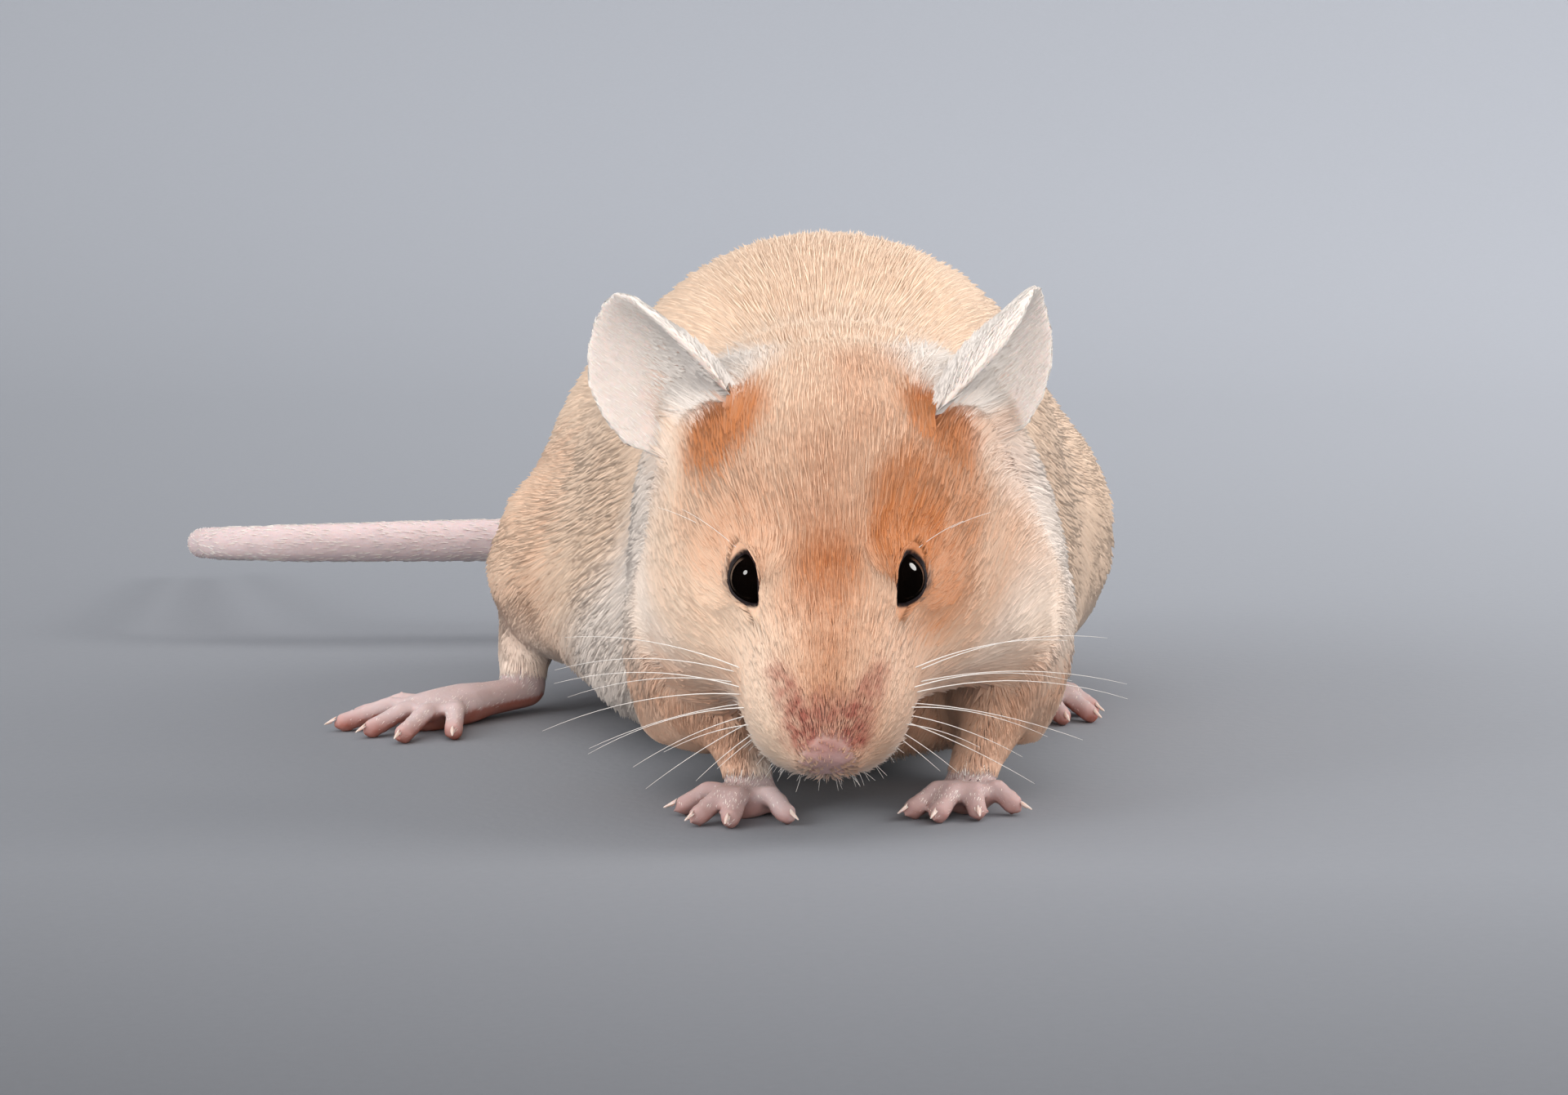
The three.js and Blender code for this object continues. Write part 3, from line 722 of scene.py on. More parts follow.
def hair_fields(points, normals, region, net):
    """The coat's values, thinner on the nose, under the body and on the soles."""
    fields = coat_fields(points, region, net, SKIN_FLOW)
    pad, wings = nose_pad(points), nose_wings(points)
    fields[:, DENSITY] *= (1 - 0.9 * pad) * (1 - 0.6 * wings) * (1 + 0.6 * ear_tuft(points))
    fields[:, LENGTH] *= (1 - 0.6 * pad) * (1 - 0.35 * wings)
    underneath = ramp(0.3, 0.8, -normals[:, 2]) * (points[:, 2] < 4)
    fields[:, DENSITY] *= 1 - 0.6 * (underneath * in_region(region, *THICK_COATED))
    fields[:, DENSITY] *= 1 - in_region(region, "forepaw", "hindfoot") * ramp(0.2, -0.3, normals[:, 2])
    return fields


def off_eyes(root, middle, tip):
    """Which tufts stay clear of the eyeballs and of the opening of the lids."""
    keep = np.ones(len(root), bool)
    for eye in EYES.values():
        for part, clear in ((root, 1.04), (middle, 1.02), (tip, 1.0)):
            lids, _, far = lid_distance(eye, part)
            keep &= (lids > clear) | (far > EYE_RADIUS + EYE_MARGIN)
    return keep


def grow_tufts(skin_mesh, settings):
    """The root, middle and tip of every tuft, and its way up, width, region and shade."""
    chance = np.random.default_rng(TUFT_SEED)
    surface = Surface(skin_mesh)
    normals = vertex_normals(skin_mesh)
    face_normals = unit(surface.facing())
    region = regions(surface.points)
    fields = hair_fields(surface.points, normals, region, Net(skin_mesh))
    roots, ups, faces, shares = plant_roots(surface, normals, fields, settings, chance)
    here = surface.carried(fields, faces, shares)
    kind = region[surface.faces[faces, 0]]
    count = len(roots)
    way = lie_of_coat(roots, ups, kind)
    body = in_region(kind, *THICK_COATED)
    clump = ripples(roots, 0.8, 3) * np.where(body, 0.02, 0.07)[:, None] + ripples(roots, 3.6, 4) * 0.1
    fluff = ear_tuft(roots)
    stray = chance.normal(size=(count, 3)) * (0.07 - 0.03 * body + 0.1 * fluff)[:, None]
    way = along_surface(way + clump + stray, ups)

    length = here[:, LENGTH] * chance.uniform(0.7, 1.2, count) * settings.hair_length * (1 + 0.4 * fluff)
    lift = here[:, DEPTH] * settings.coat_depth * chance.uniform(0.84, 1.02, count)
    puff = 0.55 * fluff * chance.uniform(0.0, 1.0, count)
    lift = np.where(chance.random(count) < WILD_SHARE, lift * WILD_LIFT, lift)
    width = here[:, WIDTH] * chance.uniform(0.7, 1.3, count) * settings.hair_width * (1 - 0.35 * fluff)

    spot1, face1 = surface.nearest(roots + way * (length * TUFT_SHARES[1])[:, None])
    up1 = face_normals[face1]
    turned = along_surface(way + ripples(roots, 1.2, 5) * np.where(body, 0.03, 0.1)[:, None], up1)
    spot2, face2 = surface.nearest(spot1 + turned * (length * (1 - TUFT_SHARES[1]))[:, None])
    up2 = unit(face_normals[face2] + up1)
    # a tuft is no higher than the coat under its middle and its tip
    coats = (fields[surface.faces[face], DEPTH].mean(1) for face in (face1, face2))
    high1, high2 = (np.minimum(lift, coat * 1.1 + 0.08) + puff for coat in coats)
    middle = spot1 + unit(up1 + ups) * (high1 * 0.8)[:, None]
    tip = spot2 + up2 * high2[:, None]
    root = roots - ups * 0.06
    back, up, _ = in_head(roots)
    fringe = fall(5, 9, back) * fall(-1.5, 1.0, up) * in_region(kind, "head")
    tip = tip + ups * (0.35 * fringe * chance.random(count))[:, None]
    for part in (root, middle, tip):
        part[:, 2] = np.maximum(part[:, 2], LOWEST_HAIR)

    # hair near a thin ear may not run through to its other side
    keep = (dot(up1, ups) > -0.2) & (dot(face_normals[face2], up1) > -0.2)
    keep &= off_eyes(root, middle, tip)
    return {
        "root": root[keep], "middle": middle[keep], "tip": tip[keep],
        "up": unit(ups + up1)[keep], "width": width[keep], "kind": kind[keep],
        "shade": chance.random(count)[keep],
    }


def tuft_piece(name, tufts, pick, unwrap, uvs):
    """One piece of the coat: each tuft is a closed, bent blade of four faces."""
    root, middle, tip = (tufts[key][pick] for key in ("root", "middle", "tip"))
    width, up = tufts["width"][pick], tufts["up"][pick]
    count = len(root)
    side = unit(np.cross(unit(tip - root), up))
    half = side * (width / 2)[:, None]
    points = np.stack([root, middle + half, middle - half, tip], 1)
    faces = (np.arange(count) * 4)[:, None, None] + TUFT_FACES
    mesh = bpy.data.meshes.new(name)
    mesh.from_pydata((points.reshape(-1, 3) * MM).tolist(), [], faces.reshape(-1, 3).tolist())
    smooth_shaded(mesh)
    turned = side * BLADE_ROUNDING
    soft = np.stack([up, unit(up + turned), unit(up - turned), up], 1)
    mesh.normals_split_custom_set_from_vertices(soft.reshape(-1, 3).tolist())

    places, near = unwrap.nearest(root)
    shares = unwrap.weights(places, near)
    centre = (uvs[near] * shares[..., None]).sum(1)
    corner = centre[:, None, :] + BAKE_PATCH
    loops = np.clip(corner[:, TUFT_FACES.ravel(), :], 0, 1)
    mesh.uv_layers.new(name="OFBake").data.foreach_set("uv", loops.astype(np.float32).ravel())

    orange, pale, pink = fawn_colours_and_painted_shade(root)
    pale = np.where(in_region(tufts["kind"][pick], *BARE), 1.0, pale)
    colours = np.stack([orange, pale, pink * 0.85, tufts["shade"][pick]], -1)
    store(mesh, "markings", np.repeat(colours[:, None, :], 4, 1))
    store(mesh, "along", np.tile(CORNER_SHARES, count), "FLOAT")
    return new_object(name, mesh)


COAT_PIECES = {
    "face_coat": ["head"],
    "neck_coat": ["neck", "ear"],
    "body_coat": ["trunk", "tail"],
    "leg_coat": ["foreleg", "hindleg", "forepaw", "hindfoot"],
}
TUFTS_IN_A_PIECE = 48000


# ---- Shader maths ----
def overloaded(operation):
    """The plain and the reflected form of an operator."""

    def plain(self, other):
        return self.maths(operation, self, other)

    def reflected(self, other):
        return self.maths(operation, other, self)

    return plain, reflected


class Wire:
    """An output socket, so that shader maths is written as an expression."""

    def __init__(self, shader, socket):
        self.shader, self.socket = shader, socket

    def maths(self, operation, *values):
        return self.shader.wire("ShaderNodeMath", {"operation": operation}, dict(enumerate(values)))

    __add__, __radd__ = overloaded("ADD")
    __sub__, __rsub__ = overloaded("SUBTRACT")
    __mul__, __rmul__ = overloaded("MULTIPLY")


class Shader:
    """A material with its nodes."""

    def __init__(self, name):
        self.material = bpy.data.materials.new(name)
        self.material.use_nodes = True
        self.tree = self.material.node_tree
        self.tree.nodes.clear()

    def node(self, kind, settings=None, inputs=None):
        made = self.tree.nodes.new(kind)
        for key, value in (settings or {}).items():
            setattr(made, key, value)
        for key, value in (inputs or {}).items():
            if isinstance(value, Wire):
                self.tree.links.new(value.socket, made.inputs[key])
            else:
                made.inputs[key].default_value = value
        return made

    def wire(self, kind, settings=None, inputs=None, output=0):
        return Wire(self, self.node(kind, settings, inputs).outputs[output])

    def mixed(self, share, first, second):
        first, second = (item if isinstance(item, Wire) else (*item, 1.0) for item in (first, second))
        return self.wire("ShaderNodeMix", {"data_type": "RGBA"}, {0: share, 6: first, 7: second}, 2)

    def scaled(self, colour, amount):
        plain = colour if isinstance(colour, Wire) else colour[:3]
        return self.wire("ShaderNodeVectorMath", {"operation": "SCALE"}, {0: plain, 3: amount})

    def place(self):
        return self.wire("ShaderNodeTexCoord", output="Object")

    def noise(self, size, detail=3.0):
        inputs = {"Vector": self.place(), "Scale": 1 / (size * MM), "Detail": detail}
        return self.wire("ShaderNodeTexNoise", {}, inputs)

    def stepped(self, value, low, high, first, last, **settings):
        """A value between low and high, mapped to between first and last."""
        inputs = {"Value": value, "From Min": low, "From Max": high, "To Min": first, "To Max": last}
        return self.wire("ShaderNodeMapRange", settings, inputs)

    def stored(self, name):
        """The four channels of a colour kept at the vertices."""
        read = self.node("ShaderNodeAttribute", {"attribute_name": name})
        split = self.node("ShaderNodeSeparateColor", {}, {0: Wire(self, read.outputs["Color"])})
        return [Wire(self, split.outputs[i]) for i in range(3)] + [Wire(self, read.outputs["Alpha"])]

    def value(self, name):
        return self.wire("ShaderNodeAttribute", {"attribute_name": name}, output="Fac")

    def bump(self, height, distance, strength=1.0):
        inputs = {"Height": height, "Distance": distance * MM, "Strength": strength}
        return self.wire("ShaderNodeBump", {}, inputs)

    def surface(self, **inputs):
        named = {key.replace("_", " "): value for key, value in inputs.items()}
        bsdf = self.wire("ShaderNodeBsdfPrincipled", {}, named)
        self.node("ShaderNodeOutputMaterial", {}, {"Surface": bsdf})
        return self.material


def coat_colour(shader, settings, orange, pale):
    colour = shader.mixed(orange, settings.fawn, settings.orange)
    return shader.mixed(pale, colour, settings.white)


def coat_material(settings):
    """Hair: the colours, each tuft a little lighter or darker, paler towards its tip and oranger towards
    its root, which is painted shade deep in the coat.
    """
    shader = Shader("Fawn coat")
    orange, pale, pink, shade = shader.stored("markings")
    along = shader.value("along")
    patchy = shader.noise(2.6) - 0.5
    # towards the root the orange deepens, and below the tuft lightens towards its tip: painted shade deep
    # in the coat
    orange = orange + patchy * 0.2 + (shade - 0.5) * 0.18 + (0.4 - along) * 0.12
    colour = coat_colour(shader, settings, orange, pale)
    colour = shader.mixed(pink * (shader.noise(0.7) * 2.4 - 0.2), colour, settings.red)
    light = 0.92 + shade * 0.11 + along * 0.06 + (shader.noise(0.8) - 0.5) * 0.08
    return shader.surface(
        Base_Color=shader.scaled(colour, light),
        Roughness=0.62,
        Specular_IOR_Level=0.22,
        Sheen_Weight=0.12,
        Sheen_Roughness=0.5,
    )


def skin_material(settings):
    """Skin: the colours under the hair, pink where bare, pale in the ears with painted shade in their
    hollows and a painted highlight on their edges, dark round the eyes.
    """
    shader = Shader("Mouse skin")
    orange, pale, bare, ears = shader.stored("markings")
    dark, red, cup, rim = shader.stored("details")
    colour = coat_colour(shader, settings, orange, pale)
    blotch = shader.noise(1.4, 4.0)
    skin = shader.mixed(pale, settings.pink, settings.tail)
    skin = shader.mixed(red * (0.65 + blotch * 0.5), skin, settings.red)
    colour = shader.mixed(bare, colour, shader.scaled(skin, 0.9 + blotch * 0.2))
    ear = shader.mixed(cup, settings.ear, settings.cup)
    ear = shader.mixed(rim * 0.8, ear, settings.rim)
    colour = shader.mixed(ears, colour, shader.scaled(ear, 0.92 + blotch * 0.16))
    colour = shader.mixed(dark, colour, settings.lid)
    wrinkles = shader.noise(0.35, 4.0) * 0.6 + shader.noise(1.1) * 0.4
    return shader.surface(
        Base_Color=colour,
        Roughness=0.62 - dark * 0.15 - bare * 0.08 + blotch * 0.06,
        Subsurface_Weight=0.35,
        Subsurface_Radius=(1.0, 0.45, 0.3),
        Subsurface_Scale=0.0005,
        Normal=shader.bump(wrinkles, 0.12, 0.5),
    )


def eye_material():
    shader = Shader("Wet black eye")
    depth = shader.noise(0.9)
    return shader.surface(
        Base_Color=shader.mixed(depth, (0.001, 0.0008, 0.0008), (0.004, 0.0025, 0.002)),
        Roughness=0.3,
        Specular_IOR_Level=0.0,
        Coat_Weight=shader.value("gloss"),
        Coat_Roughness=0.04,
        Coat_IOR=1.9,
    )


def claw_material():
    shader = Shader("Clear horn")
    streak = shader.noise(0.25)
    return shader.surface(
        Base_Color=shader.mixed(streak, (0.70, 0.52, 0.46), (0.82, 0.66, 0.6)),
        Roughness=0.28 + streak * 0.1,
        Subsurface_Weight=0.5,
        Subsurface_Radius=(1.0, 0.6, 0.45),
        Subsurface_Scale=0.0004,
    )


def whisker_material():
    shader = Shader("White whisker")
    return shader.surface(
        Base_Color=shader.mixed(shader.noise(1.2), (0.8, 0.74, 0.68), (0.95, 0.92, 0.88)),
        Roughness=0.4,
    )


def floor_material(settings):
    shader = Shader("Pale studio paper")
    grain = shader.noise(0.7, 5.0)
    place = shader.node("ShaderNodeSeparateXYZ", {}, {0: shader.place()})
    across, away = (Wire(shader, place.outputs[axis]) for axis in "XY")
    # painted light and shade: the paper is darker towards the camera and lighter further back, up the
    # backdrop and to the right, as the lamps' light falls off
    painted_falloff = shader.stepped(away + across * 0.7, -0.3, 0.5, 0.38, 0.9, interpolation_type="SMOOTHSTEP")
    front = shader.stepped(away, -0.13, -0.06, 0.66, 1.0)
    painted_falloff = painted_falloff * front + across * 0.6
    return shader.surface(
        Base_Color=shader.scaled(settings.floor, painted_falloff * (0.97 + grain * 0.06)),
        Roughness=0.85,
        Normal=shader.bump(grain, 0.08, 0.35),
    )


# ---- Settings ----
def colour(name, text, default):
    return bpy.props.FloatVectorProperty(
        name=name, description=text, default=default, subtype="COLOR", size=3, min=0, max=1
    )


def number(name, text, default, **more):
    return bpy.props.FloatProperty(name=name, description=text, default=default, **more)


class MouseSettings(bpy.types.PropertyGroup):
    coat_depth: number("Coat depth", "How thick the coat is, as a share of its usual thickness", 1.0)
    coat_density: number("Coat density", "How many tufts there are, as a share of the usual number", 1.0)
    hair_length: number("Hair length", "Length of the hair, as a share of its usual length", 1.0)
    hair_width: number("Hair width", "Width of a tuft, as a share of its usual width", 1.0)
    skin_triangles: bpy.props.IntProperty(
        name="Skin triangles", description="How finely the skin is divided", default=188000
    )
    fawn: colour("Fawn", "Colour of most of the coat", (0.87, 0.66, 0.50))
    orange: colour("Orange", "Colour before the ears and along the nose", (0.56, 0.205, 0.072))
    white: colour("White", "Colour of the ears' tufts, mixed into the belly too", (0.91, 0.84, 0.78))
    pink: colour("Pink", "Colour of bare skin", (0.46, 0.32, 0.305))
    tail: colour("Tail", "Colour of the tail's skin", (0.62, 0.50, 0.50))
    red: colour("Red", "Colour under the toes and in the nose's wings", (0.42, 0.14, 0.10))
    ear: colour("Ear", "Colour of the ears", (0.79, 0.69, 0.63))
    cup: colour("Cup", "Colour deep inside the ears", (0.72, 0.49, 0.39))
    rim: colour("Rim", "Colour of the ears' edge", (0.88, 0.82, 0.77))
    lid: colour("Lid", "Colour of the lids' edge", (0.018, 0.011, 0.013))


class StageSettings(bpy.types.PropertyGroup):
    floor: colour("Floor", "Colour of the floor and backdrop", (0.45, 0.478, 0.53))
    key: number("Key light", "Power of the small main light, on the left", 0.5, unit="POWER")
    side: number("Side light", "Power of the wide low light on the left", 2.3, unit="POWER")
    top: number("Top light", "Power of the wide light overhead", 0.8, unit="POWER")
    front: number("Front light", "Power of the soft light above the camera", 0.45, unit="POWER")
    low: number("Low light", "Power of the soft light below the camera", 0.52, unit="POWER")
    rim: number("Rim light", "Power of the high light on the right", 1.2, unit="POWER")
    fill: number("Fill light", "Power of the wide low light on the right", 1.1, unit="POWER")
    sky: number("Surrounding light", "Strength of the light from all round", 1.1)


# ---- Operators ----
def add_piece(thing, slot, *materials):
    for material in materials:
        thing.data.materials.append(material)
    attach(thing, "root")
    return thing


class MOUSE_OT_skin(bpy.types.Operator):
    """Make the one skin that stands for all the flesh"""

    bl_idname = "mouse.skin"
    bl_label = "Skin"

    def execute(self, context):
        settings = context.scene.mouse_settings
        skin = build_skin(settings)
        paint_skin(skin.data)
        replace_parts(add_piece(skin, "bare_skin", skin_material(settings)), *FLESH)
        return {"FINISHED"}


class MOUSE_OT_coat(bpy.types.Operator):
    """Cover the skin with hair"""

    bl_idname = "mouse.coat"
    bl_label = "Coat"

    def execute(self, context):
        settings = context.scene.mouse_settings
        skin = bpy.data.objects["skin"].data
        tufts = grow_tufts(skin, settings)
        unwrap, uvs = skin_unwrap(skin)
        material = coat_material(settings)
        for name, members in COAT_PIECES.items():
            chosen = np.nonzero(in_region(tufts["kind"], *members))[0]
            chosen = chosen[np.argsort(tufts["root"][chosen, 1], kind="stable")]
            shares = max(1, math.ceil(len(chosen) / TUFTS_IN_A_PIECE))
            for i, pick in enumerate(np.array_split(chosen, shares)):
                add_piece(tuft_piece(f"{name}_{i + 1}", tufts, pick, unwrap, uvs), "coat", material)
        return {"FINISHED"}


# where the cornea starts to stand proud of the ball, and how far, as shares of the radius
CORNEA_START, CORNEA_RISE = 0.6, 0.025


class MOUSE_OT_eyes(bpy.types.Operator):
    """Make both eyes, with a cornea that stands a little proud"""

    bl_idname = "mouse.eyes"
    bl_label = "Eyes"

    def execute(self, context):
        material = eye_material()
        for side, eye in EYES.items():
            ball = bmesh.new()
            bmesh.ops.create_uvsphere(ball, u_segments=48, v_segments=32, radius=EYE_RADIUS * MM)
            turn = Vector((0, 0, 1)).rotation_difference(Vector(eye["ahead"].tolist())).to_matrix()
            for vert in ball.verts:
                high = vert.co.z / (EYE_RADIUS * MM)
                rise = max(0.0, (high - CORNEA_START) / (1 - CORNEA_START)) ** 2
                vert.co *= 1 + CORNEA_RISE * rise
            bmesh.ops.rotate(ball, verts=ball.verts, matrix=turn, cent=(0, 0, 0))
            bmesh.ops.translate(ball, verts=ball.verts, vec=metres(eye["centre"]))
            mesh = closed(ball, f"{side}_eyeball")
            # the gloss ends before the lids' edge, where it would mirror the hair in a ring
            lids = lid_distance(eye, coordinates(mesh))[0]
            store(mesh, "gloss", fall(0.56, 0.74, lids), "FLOAT")
            piece = new_object(f"{side}_eyeball", smooth_shaded(mesh))
            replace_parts(add_piece(piece, "eye", material), f"{side}_eye")
        return {"FINISHED"}


CLAWS = sorted(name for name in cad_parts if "_claw_" in name)
CLAW_SIZE = 0.78


class MOUSE_OT_claws(bpy.types.Operator):
    """Make the claws, finer than the solids they stand in"""

    bl_idname = "mouse.claws"
    bl_label = "Claws"

    def execute(self, context):
        whole = bmesh.new()
        for name in CLAWS:
            paw = metres(node_centre(name.split("_claw_")[0]))
            claw = opened(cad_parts[name].data)
            bmesh.ops.remove_doubles(claw, verts=claw.verts, dist=MERGED)
            nearest = sorted(claw.verts, key=lambda vert: (vert.co - paw).length)[: len(claw.verts) // 3]
            base = sum((vert.co for vert in nearest), Vector()) / len(nearest)
            for vert in claw.verts:
                vert.co = base + (vert.co - base) * CLAW_SIZE
            add_to(whole, claw)
        piece = new_object("claws", smooth_shaded(closed(whole, "claws")))
        rounded = piece.modifiers.new("Rounded", "SUBSURF")
        rounded.levels = rounded.render_levels = 1
        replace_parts(add_piece(piece, "claw", claw_material()), *CLAWS)
        return {"FINISHED"}


# ---- Whiskers ----
WHISKER_SEED = 5
WHISKER_RADIUS, WHISKER_TIP = 0.044, 0.011
# on each side: root back and up in the head, length, and how far the hair points back, up and down-curving
WHISKERS = (
    (5.8, 0.9, 17, 0.75, 0.22, 0.20), (6.1, 0.0, 20, 0.65, 0.08, 0.22), (6.0, -0.9, 18, 0.6, -0.10, 0.20),
    (4.8, 0.3, 15, 0.5, 0.12, 0.24), (5.0, -0.6, 17, 0.45, -0.02, 0.24), (5.0, -1.6, 14, 0.42, -0.28, 0.16),
    (3.8, -0.3, 11, 0.3, 0.02, 0.26), (3.9, -1.3, 10, 0.28, -0.24, 0.2), (4.0, -2.2, 9, 0.25, -0.5, 0.12),
    (2.8, -0.9, 6, 0.15, -0.12, 0.24), (2.9, -1.9, 5.5, 0.1, -0.45, 0.14), (2.9, -2.6, 4, 0.0, -0.8, 0.08),
)
BROW_HAIRS = ((13.0, 4.6, 5, 0.5, 0.7, 0.16), (13.8, 3.6, 6, 0.6, 0.5, 0.16))
# the hairs, how far to the side they are planted, and how thick they are
HAIR_GROUPS = ((WHISKERS, 5.2, WHISKER_RADIUS), (BROW_HAIRS, 6.5, WHISKER_RADIUS * 0.6))
CHIN_HAIRS = 70
DOWN = np.array([0, 0, -1.0])
# no whisker comes nearer to the floor than this, in metres
WHISKER_CLEARANCE = 0.0002


def curved_hair(whole, root, way, length, droop, thick, steps=12, around=6):
    """Add one closed, tapering, drooping hair to a mesh."""
    side = unit(np.cross(way, -DOWN))
    turns = np.linspace(0, 2 * math.pi, around, endpoint=False)
    rings = []
    for t in np.linspace(0, 1, steps):
        centre = root + way * (length * t) + DOWN * (droop * length * t * t)
        over = np.cross(unit(way + 2 * DOWN * droop * t), side)
        radius = thick + (WHISKER_TIP - thick) * t**0.8
        ring = [centre + radius * (math.cos(a) * side + math.sin(a) * over) for a in turns]
        rings.append([whole.verts.new(metres(place)) for place in ring])
    for first, second in zip(rings, rings[1:]):
        for i in range(around):
            j = (i + 1) % around
            whole.faces.new((first[i], first[j], second[j], second[i]))
    whole.faces.new(rings[0][::-1])
    whole.faces.new(rings[-1])


def side_hairs(whole, skin, chance, sign):
    """Plant the whiskers and the brow's hairs of one side."""
    for group, aside, thick in HAIR_GROUPS:
        for back, up, length, to_back, to_up, droop in group:
            start = NOSE_TIP + BACK * back + UP * up + OUT * sign * aside
            spread = chance.normal(size=3) * 0.09
            root = skin.nearest(start[None])[0][0]
            way = unit(OUT * sign + BACK * to_back * 0.3 + np.array([0, to_back, to_up]) + spread)
            curved_hair(whole, root - way * 0.4, way, length * chance.uniform(0.85, 1.1), droop, thick)


def chin_hairs(whole, skin, chance, sign):
    """Plant the short hairs under one side of the muzzle."""
    for _ in range(CHIN_HAIRS):
        back, side = chance.uniform(0.2, 7.0), chance.uniform(0.2, 4.2)
        start = NOSE_TIP + BACK * back - UP * chance.uniform(2.6, 4.2) + OUT * sign * side
        root = skin.nearest(start[None])[0][0]
        way = OUT * sign * (0.15 + 0.2 * side) + np.array([0, 0.45, -0.8])
        way = unit(way + chance.normal(size=3) * 0.18)
        curved_hair(whole, root, way, chance.uniform(0.6, 1.6), 0.1, WHISKER_RADIUS * 0.3, 5, 4)


class MOUSE_OT_whiskers(bpy.types.Operator):
    """Plant the whiskers and the long hairs over the eyes"""

    bl_idname = "mouse.whiskers"
    bl_label = "Whiskers"

    def execute(self, context):
        skin = Surface(bpy.data.objects["skin"].data)
        chance = np.random.default_rng(WHISKER_SEED)
        whole = bmesh.new()
        for sign in (-1, 1):
            side_hairs(whole, skin, chance, sign)
            chin_hairs(whole, skin, chance, sign)
        bmesh.ops.recalc_face_normals(whole, faces=whole.faces)
        for vert in whole.verts:
            vert.co.z = max(vert.co.z, WHISKER_CLEARANCE)
        mesh = smooth_shaded(closed(whole, "whiskers"))
        add_piece(new_object("whiskers", mesh), "coat", whisker_material())
        return {"FINISHED"}


# ---- Stage, in metres ----
# the floor is flat up to here and then bends up into the backdrop
FLAT, BEND = 0.25, 0.9
FLOOR_WIDTH, FLOOR_FRONT, FLOOR_TOP, BEND_STEPS = 5, -1.5, 2.0, 33
LIGHTS_AIM = Vector((0, -0.03, 0.015))
# place, width and colour of each round light; its power is the setting of the same name
LIGHTS = {
    "key": ((-0.45, -0.34, 0.33), 0.19, (1.0, 0.98, 0.96)),
    "side": ((-0.6, -0.18, 0.18), 0.7, (1.0, 0.97, 0.95)),
    "front": ((-0.12, -0.5, 0.45), 0.6, (1.0, 0.97, 0.95)),
    "low": ((0.09, -0.45, 0.05), 0.3, (1.0, 0.95, 0.91)),
    "top": ((0.0, 0.06, 0.65), 0.7, (1.0, 0.97, 0.95)),
    "rim": ((0.46, 0.02, 0.4), 0.28, (1.0, 0.96, 0.92)),
    "fill": ((0.58, 0.06, 0.15), 0.6, (1.0, 0.93, 0.87)),
}
# only these are mirrored in the eyes
MIRRORED = ("key", "rim")
SKY_COLOUR = (0.93, 0.92, 0.92, 1)
CAMERA_PLACE = (-0.0025, -0.316, 0.0508)
# looking forward and 7 degrees down
CAMERA_TURN = (math.radians(90 - 7), 0, 0)
FOCAL_LENGTH, SENSOR_WIDTH = 100, 36


def studio_floor():
    """A sheet of paper that runs back from the camera and bends up behind the mouse."""
    turns = np.linspace(0, math.pi / 2, BEND_STEPS)
    bend = [(FLAT + BEND * math.sin(a), BEND - BEND * math.cos(a)) for a in turns]
    line = [(FLOOR_FRONT, 0.0), *bend, (FLAT + BEND, FLOOR_TOP)]
    sweep = bmesh.new()
    start = [sweep.verts.new((-FLOOR_WIDTH / 2, y, z)) for y, z in line]
    edges = [sweep.edges.new(pair) for pair in zip(start, start[1:])]
    made = bmesh.ops.extrude_edge_only(sweep, edges=edges)
    moved = [item for item in made["geom"] if isinstance(item, bmesh.types.BMVert)]
    bmesh.ops.translate(sweep, verts=moved, vec=(FLOOR_WIDTH, 0, 0))
    bmesh.ops.recalc_face_normals(sweep, faces=sweep.faces)
    return new_object("studio_floor", smooth_shaded(closed(sweep, "studio_floor")))


def add_light(name, place, power, size, tint):
    lamp = bpy.data.lights.new(f"{name}_light", "AREA")
    lamp.shape = "DISK"
    lamp.energy = power
    lamp.size = size
    lamp.color = tint
    light = new_object(f"{name}_light", lamp)
    light.location = place
    light.rotation_euler = (LIGHTS_AIM - Vector(place)).to_track_quat("-Z", "Y").to_euler()
    light.visible_glossy = name in MIRRORED


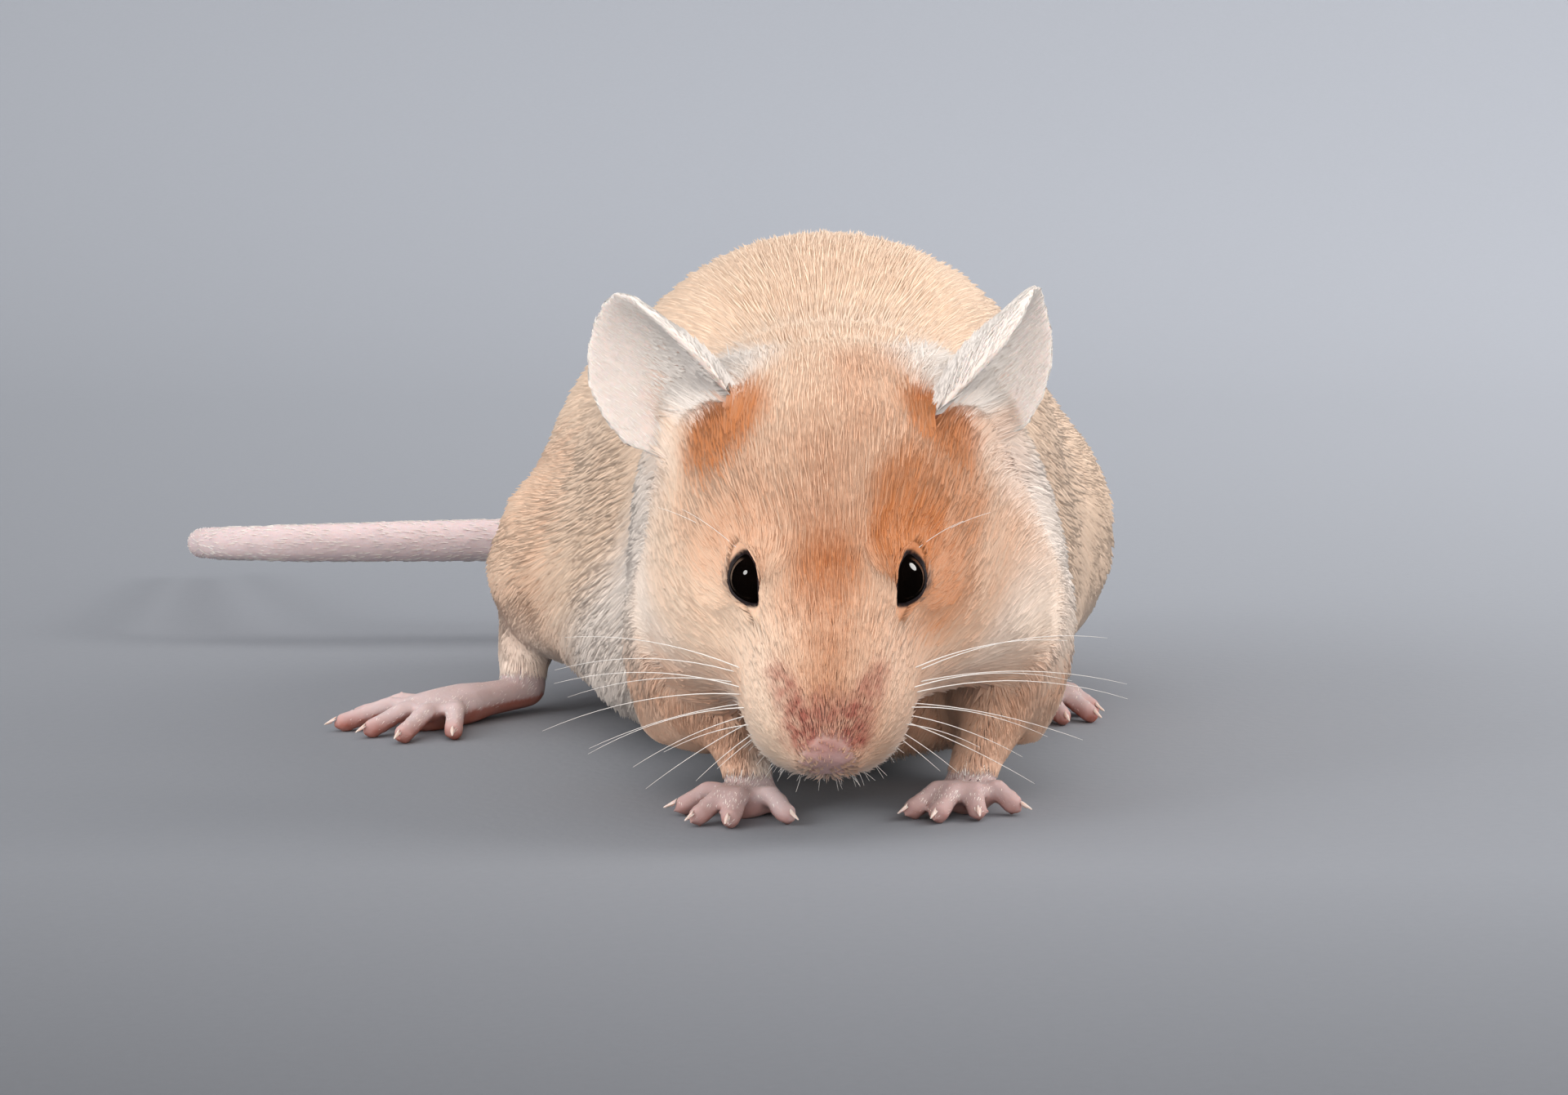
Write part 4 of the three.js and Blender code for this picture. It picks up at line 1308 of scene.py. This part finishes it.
def add_camera():
    lens = bpy.data.cameras.new("camera")
    lens.lens = FOCAL_LENGTH
    lens.sensor_width = SENSOR_WIDTH
    lens.sensor_fit = "HORIZONTAL"
    lens.clip_start = 0.01
    camera = new_object("camera", lens)
    camera.location = CAMERA_PLACE
    camera.rotation_euler = CAMERA_TURN
    bpy.context.scene.camera = camera


class MOUSE_OT_stage(bpy.types.Operator):
    """Set the pale floor, the soft lights and the camera"""

    bl_idname = "mouse.stage"
    bl_label = "Stage"

    def execute(self, context):
        settings = context.scene.stage_settings
        floor = studio_floor()
        floor.data.materials.append(floor_material(settings))
        floor.visible_glossy = False
        for name, (place, size, tint) in LIGHTS.items():
            add_light(name, place, getattr(settings, name), size, tint)
        world = bpy.data.worlds.new("Soft light")
        world.use_nodes = True
        sky = world.node_tree.nodes["Background"].inputs
        sky["Color"].default_value = SKY_COLOUR
        sky["Strength"].default_value = settings.sky
        context.scene.world = world
        world.cycles_visibility.glossy = False
        context.scene.view_settings.view_transform = "Standard"
        add_camera()
        return {"FINISHED"}


OPERATORS = (MOUSE_OT_skin, MOUSE_OT_coat, MOUSE_OT_eyes, MOUSE_OT_claws, MOUSE_OT_whiskers, MOUSE_OT_stage)


class MOUSE_PT_panel(bpy.types.Panel):
    """The steps that build the mouse, and the sizes and colours they read"""

    bl_label = "Mouse"
    bl_idname = "MOUSE_PT_panel"
    bl_space_type = "VIEW_3D"
    bl_region_type = "UI"
    bl_category = "Mouse"

    def draw(self, context):
        for step in OPERATORS:
            self.layout.operator(step.bl_idname)
        for group in (context.scene.mouse_settings, context.scene.stage_settings):
            for name in group.__annotations__:
                self.layout.prop(group, name)


CLASSES = (MouseSettings, StageSettings, *OPERATORS, MOUSE_PT_panel)


def register():
    for item in CLASSES:
        bpy.utils.register_class(item)
    bpy.types.Scene.mouse_settings = bpy.props.PointerProperty(type=MouseSettings)
    bpy.types.Scene.stage_settings = bpy.props.PointerProperty(type=StageSettings)


def unregister():
    del bpy.types.Scene.stage_settings
    del bpy.types.Scene.mouse_settings
    for item in reversed(CLASSES):
        bpy.utils.unregister_class(item)


def main():
    register()
    for step in OPERATORS:
        getattr(bpy.ops.mouse, step.bl_idname.split(".")[1])()


if __name__ == "__main__":
    main()
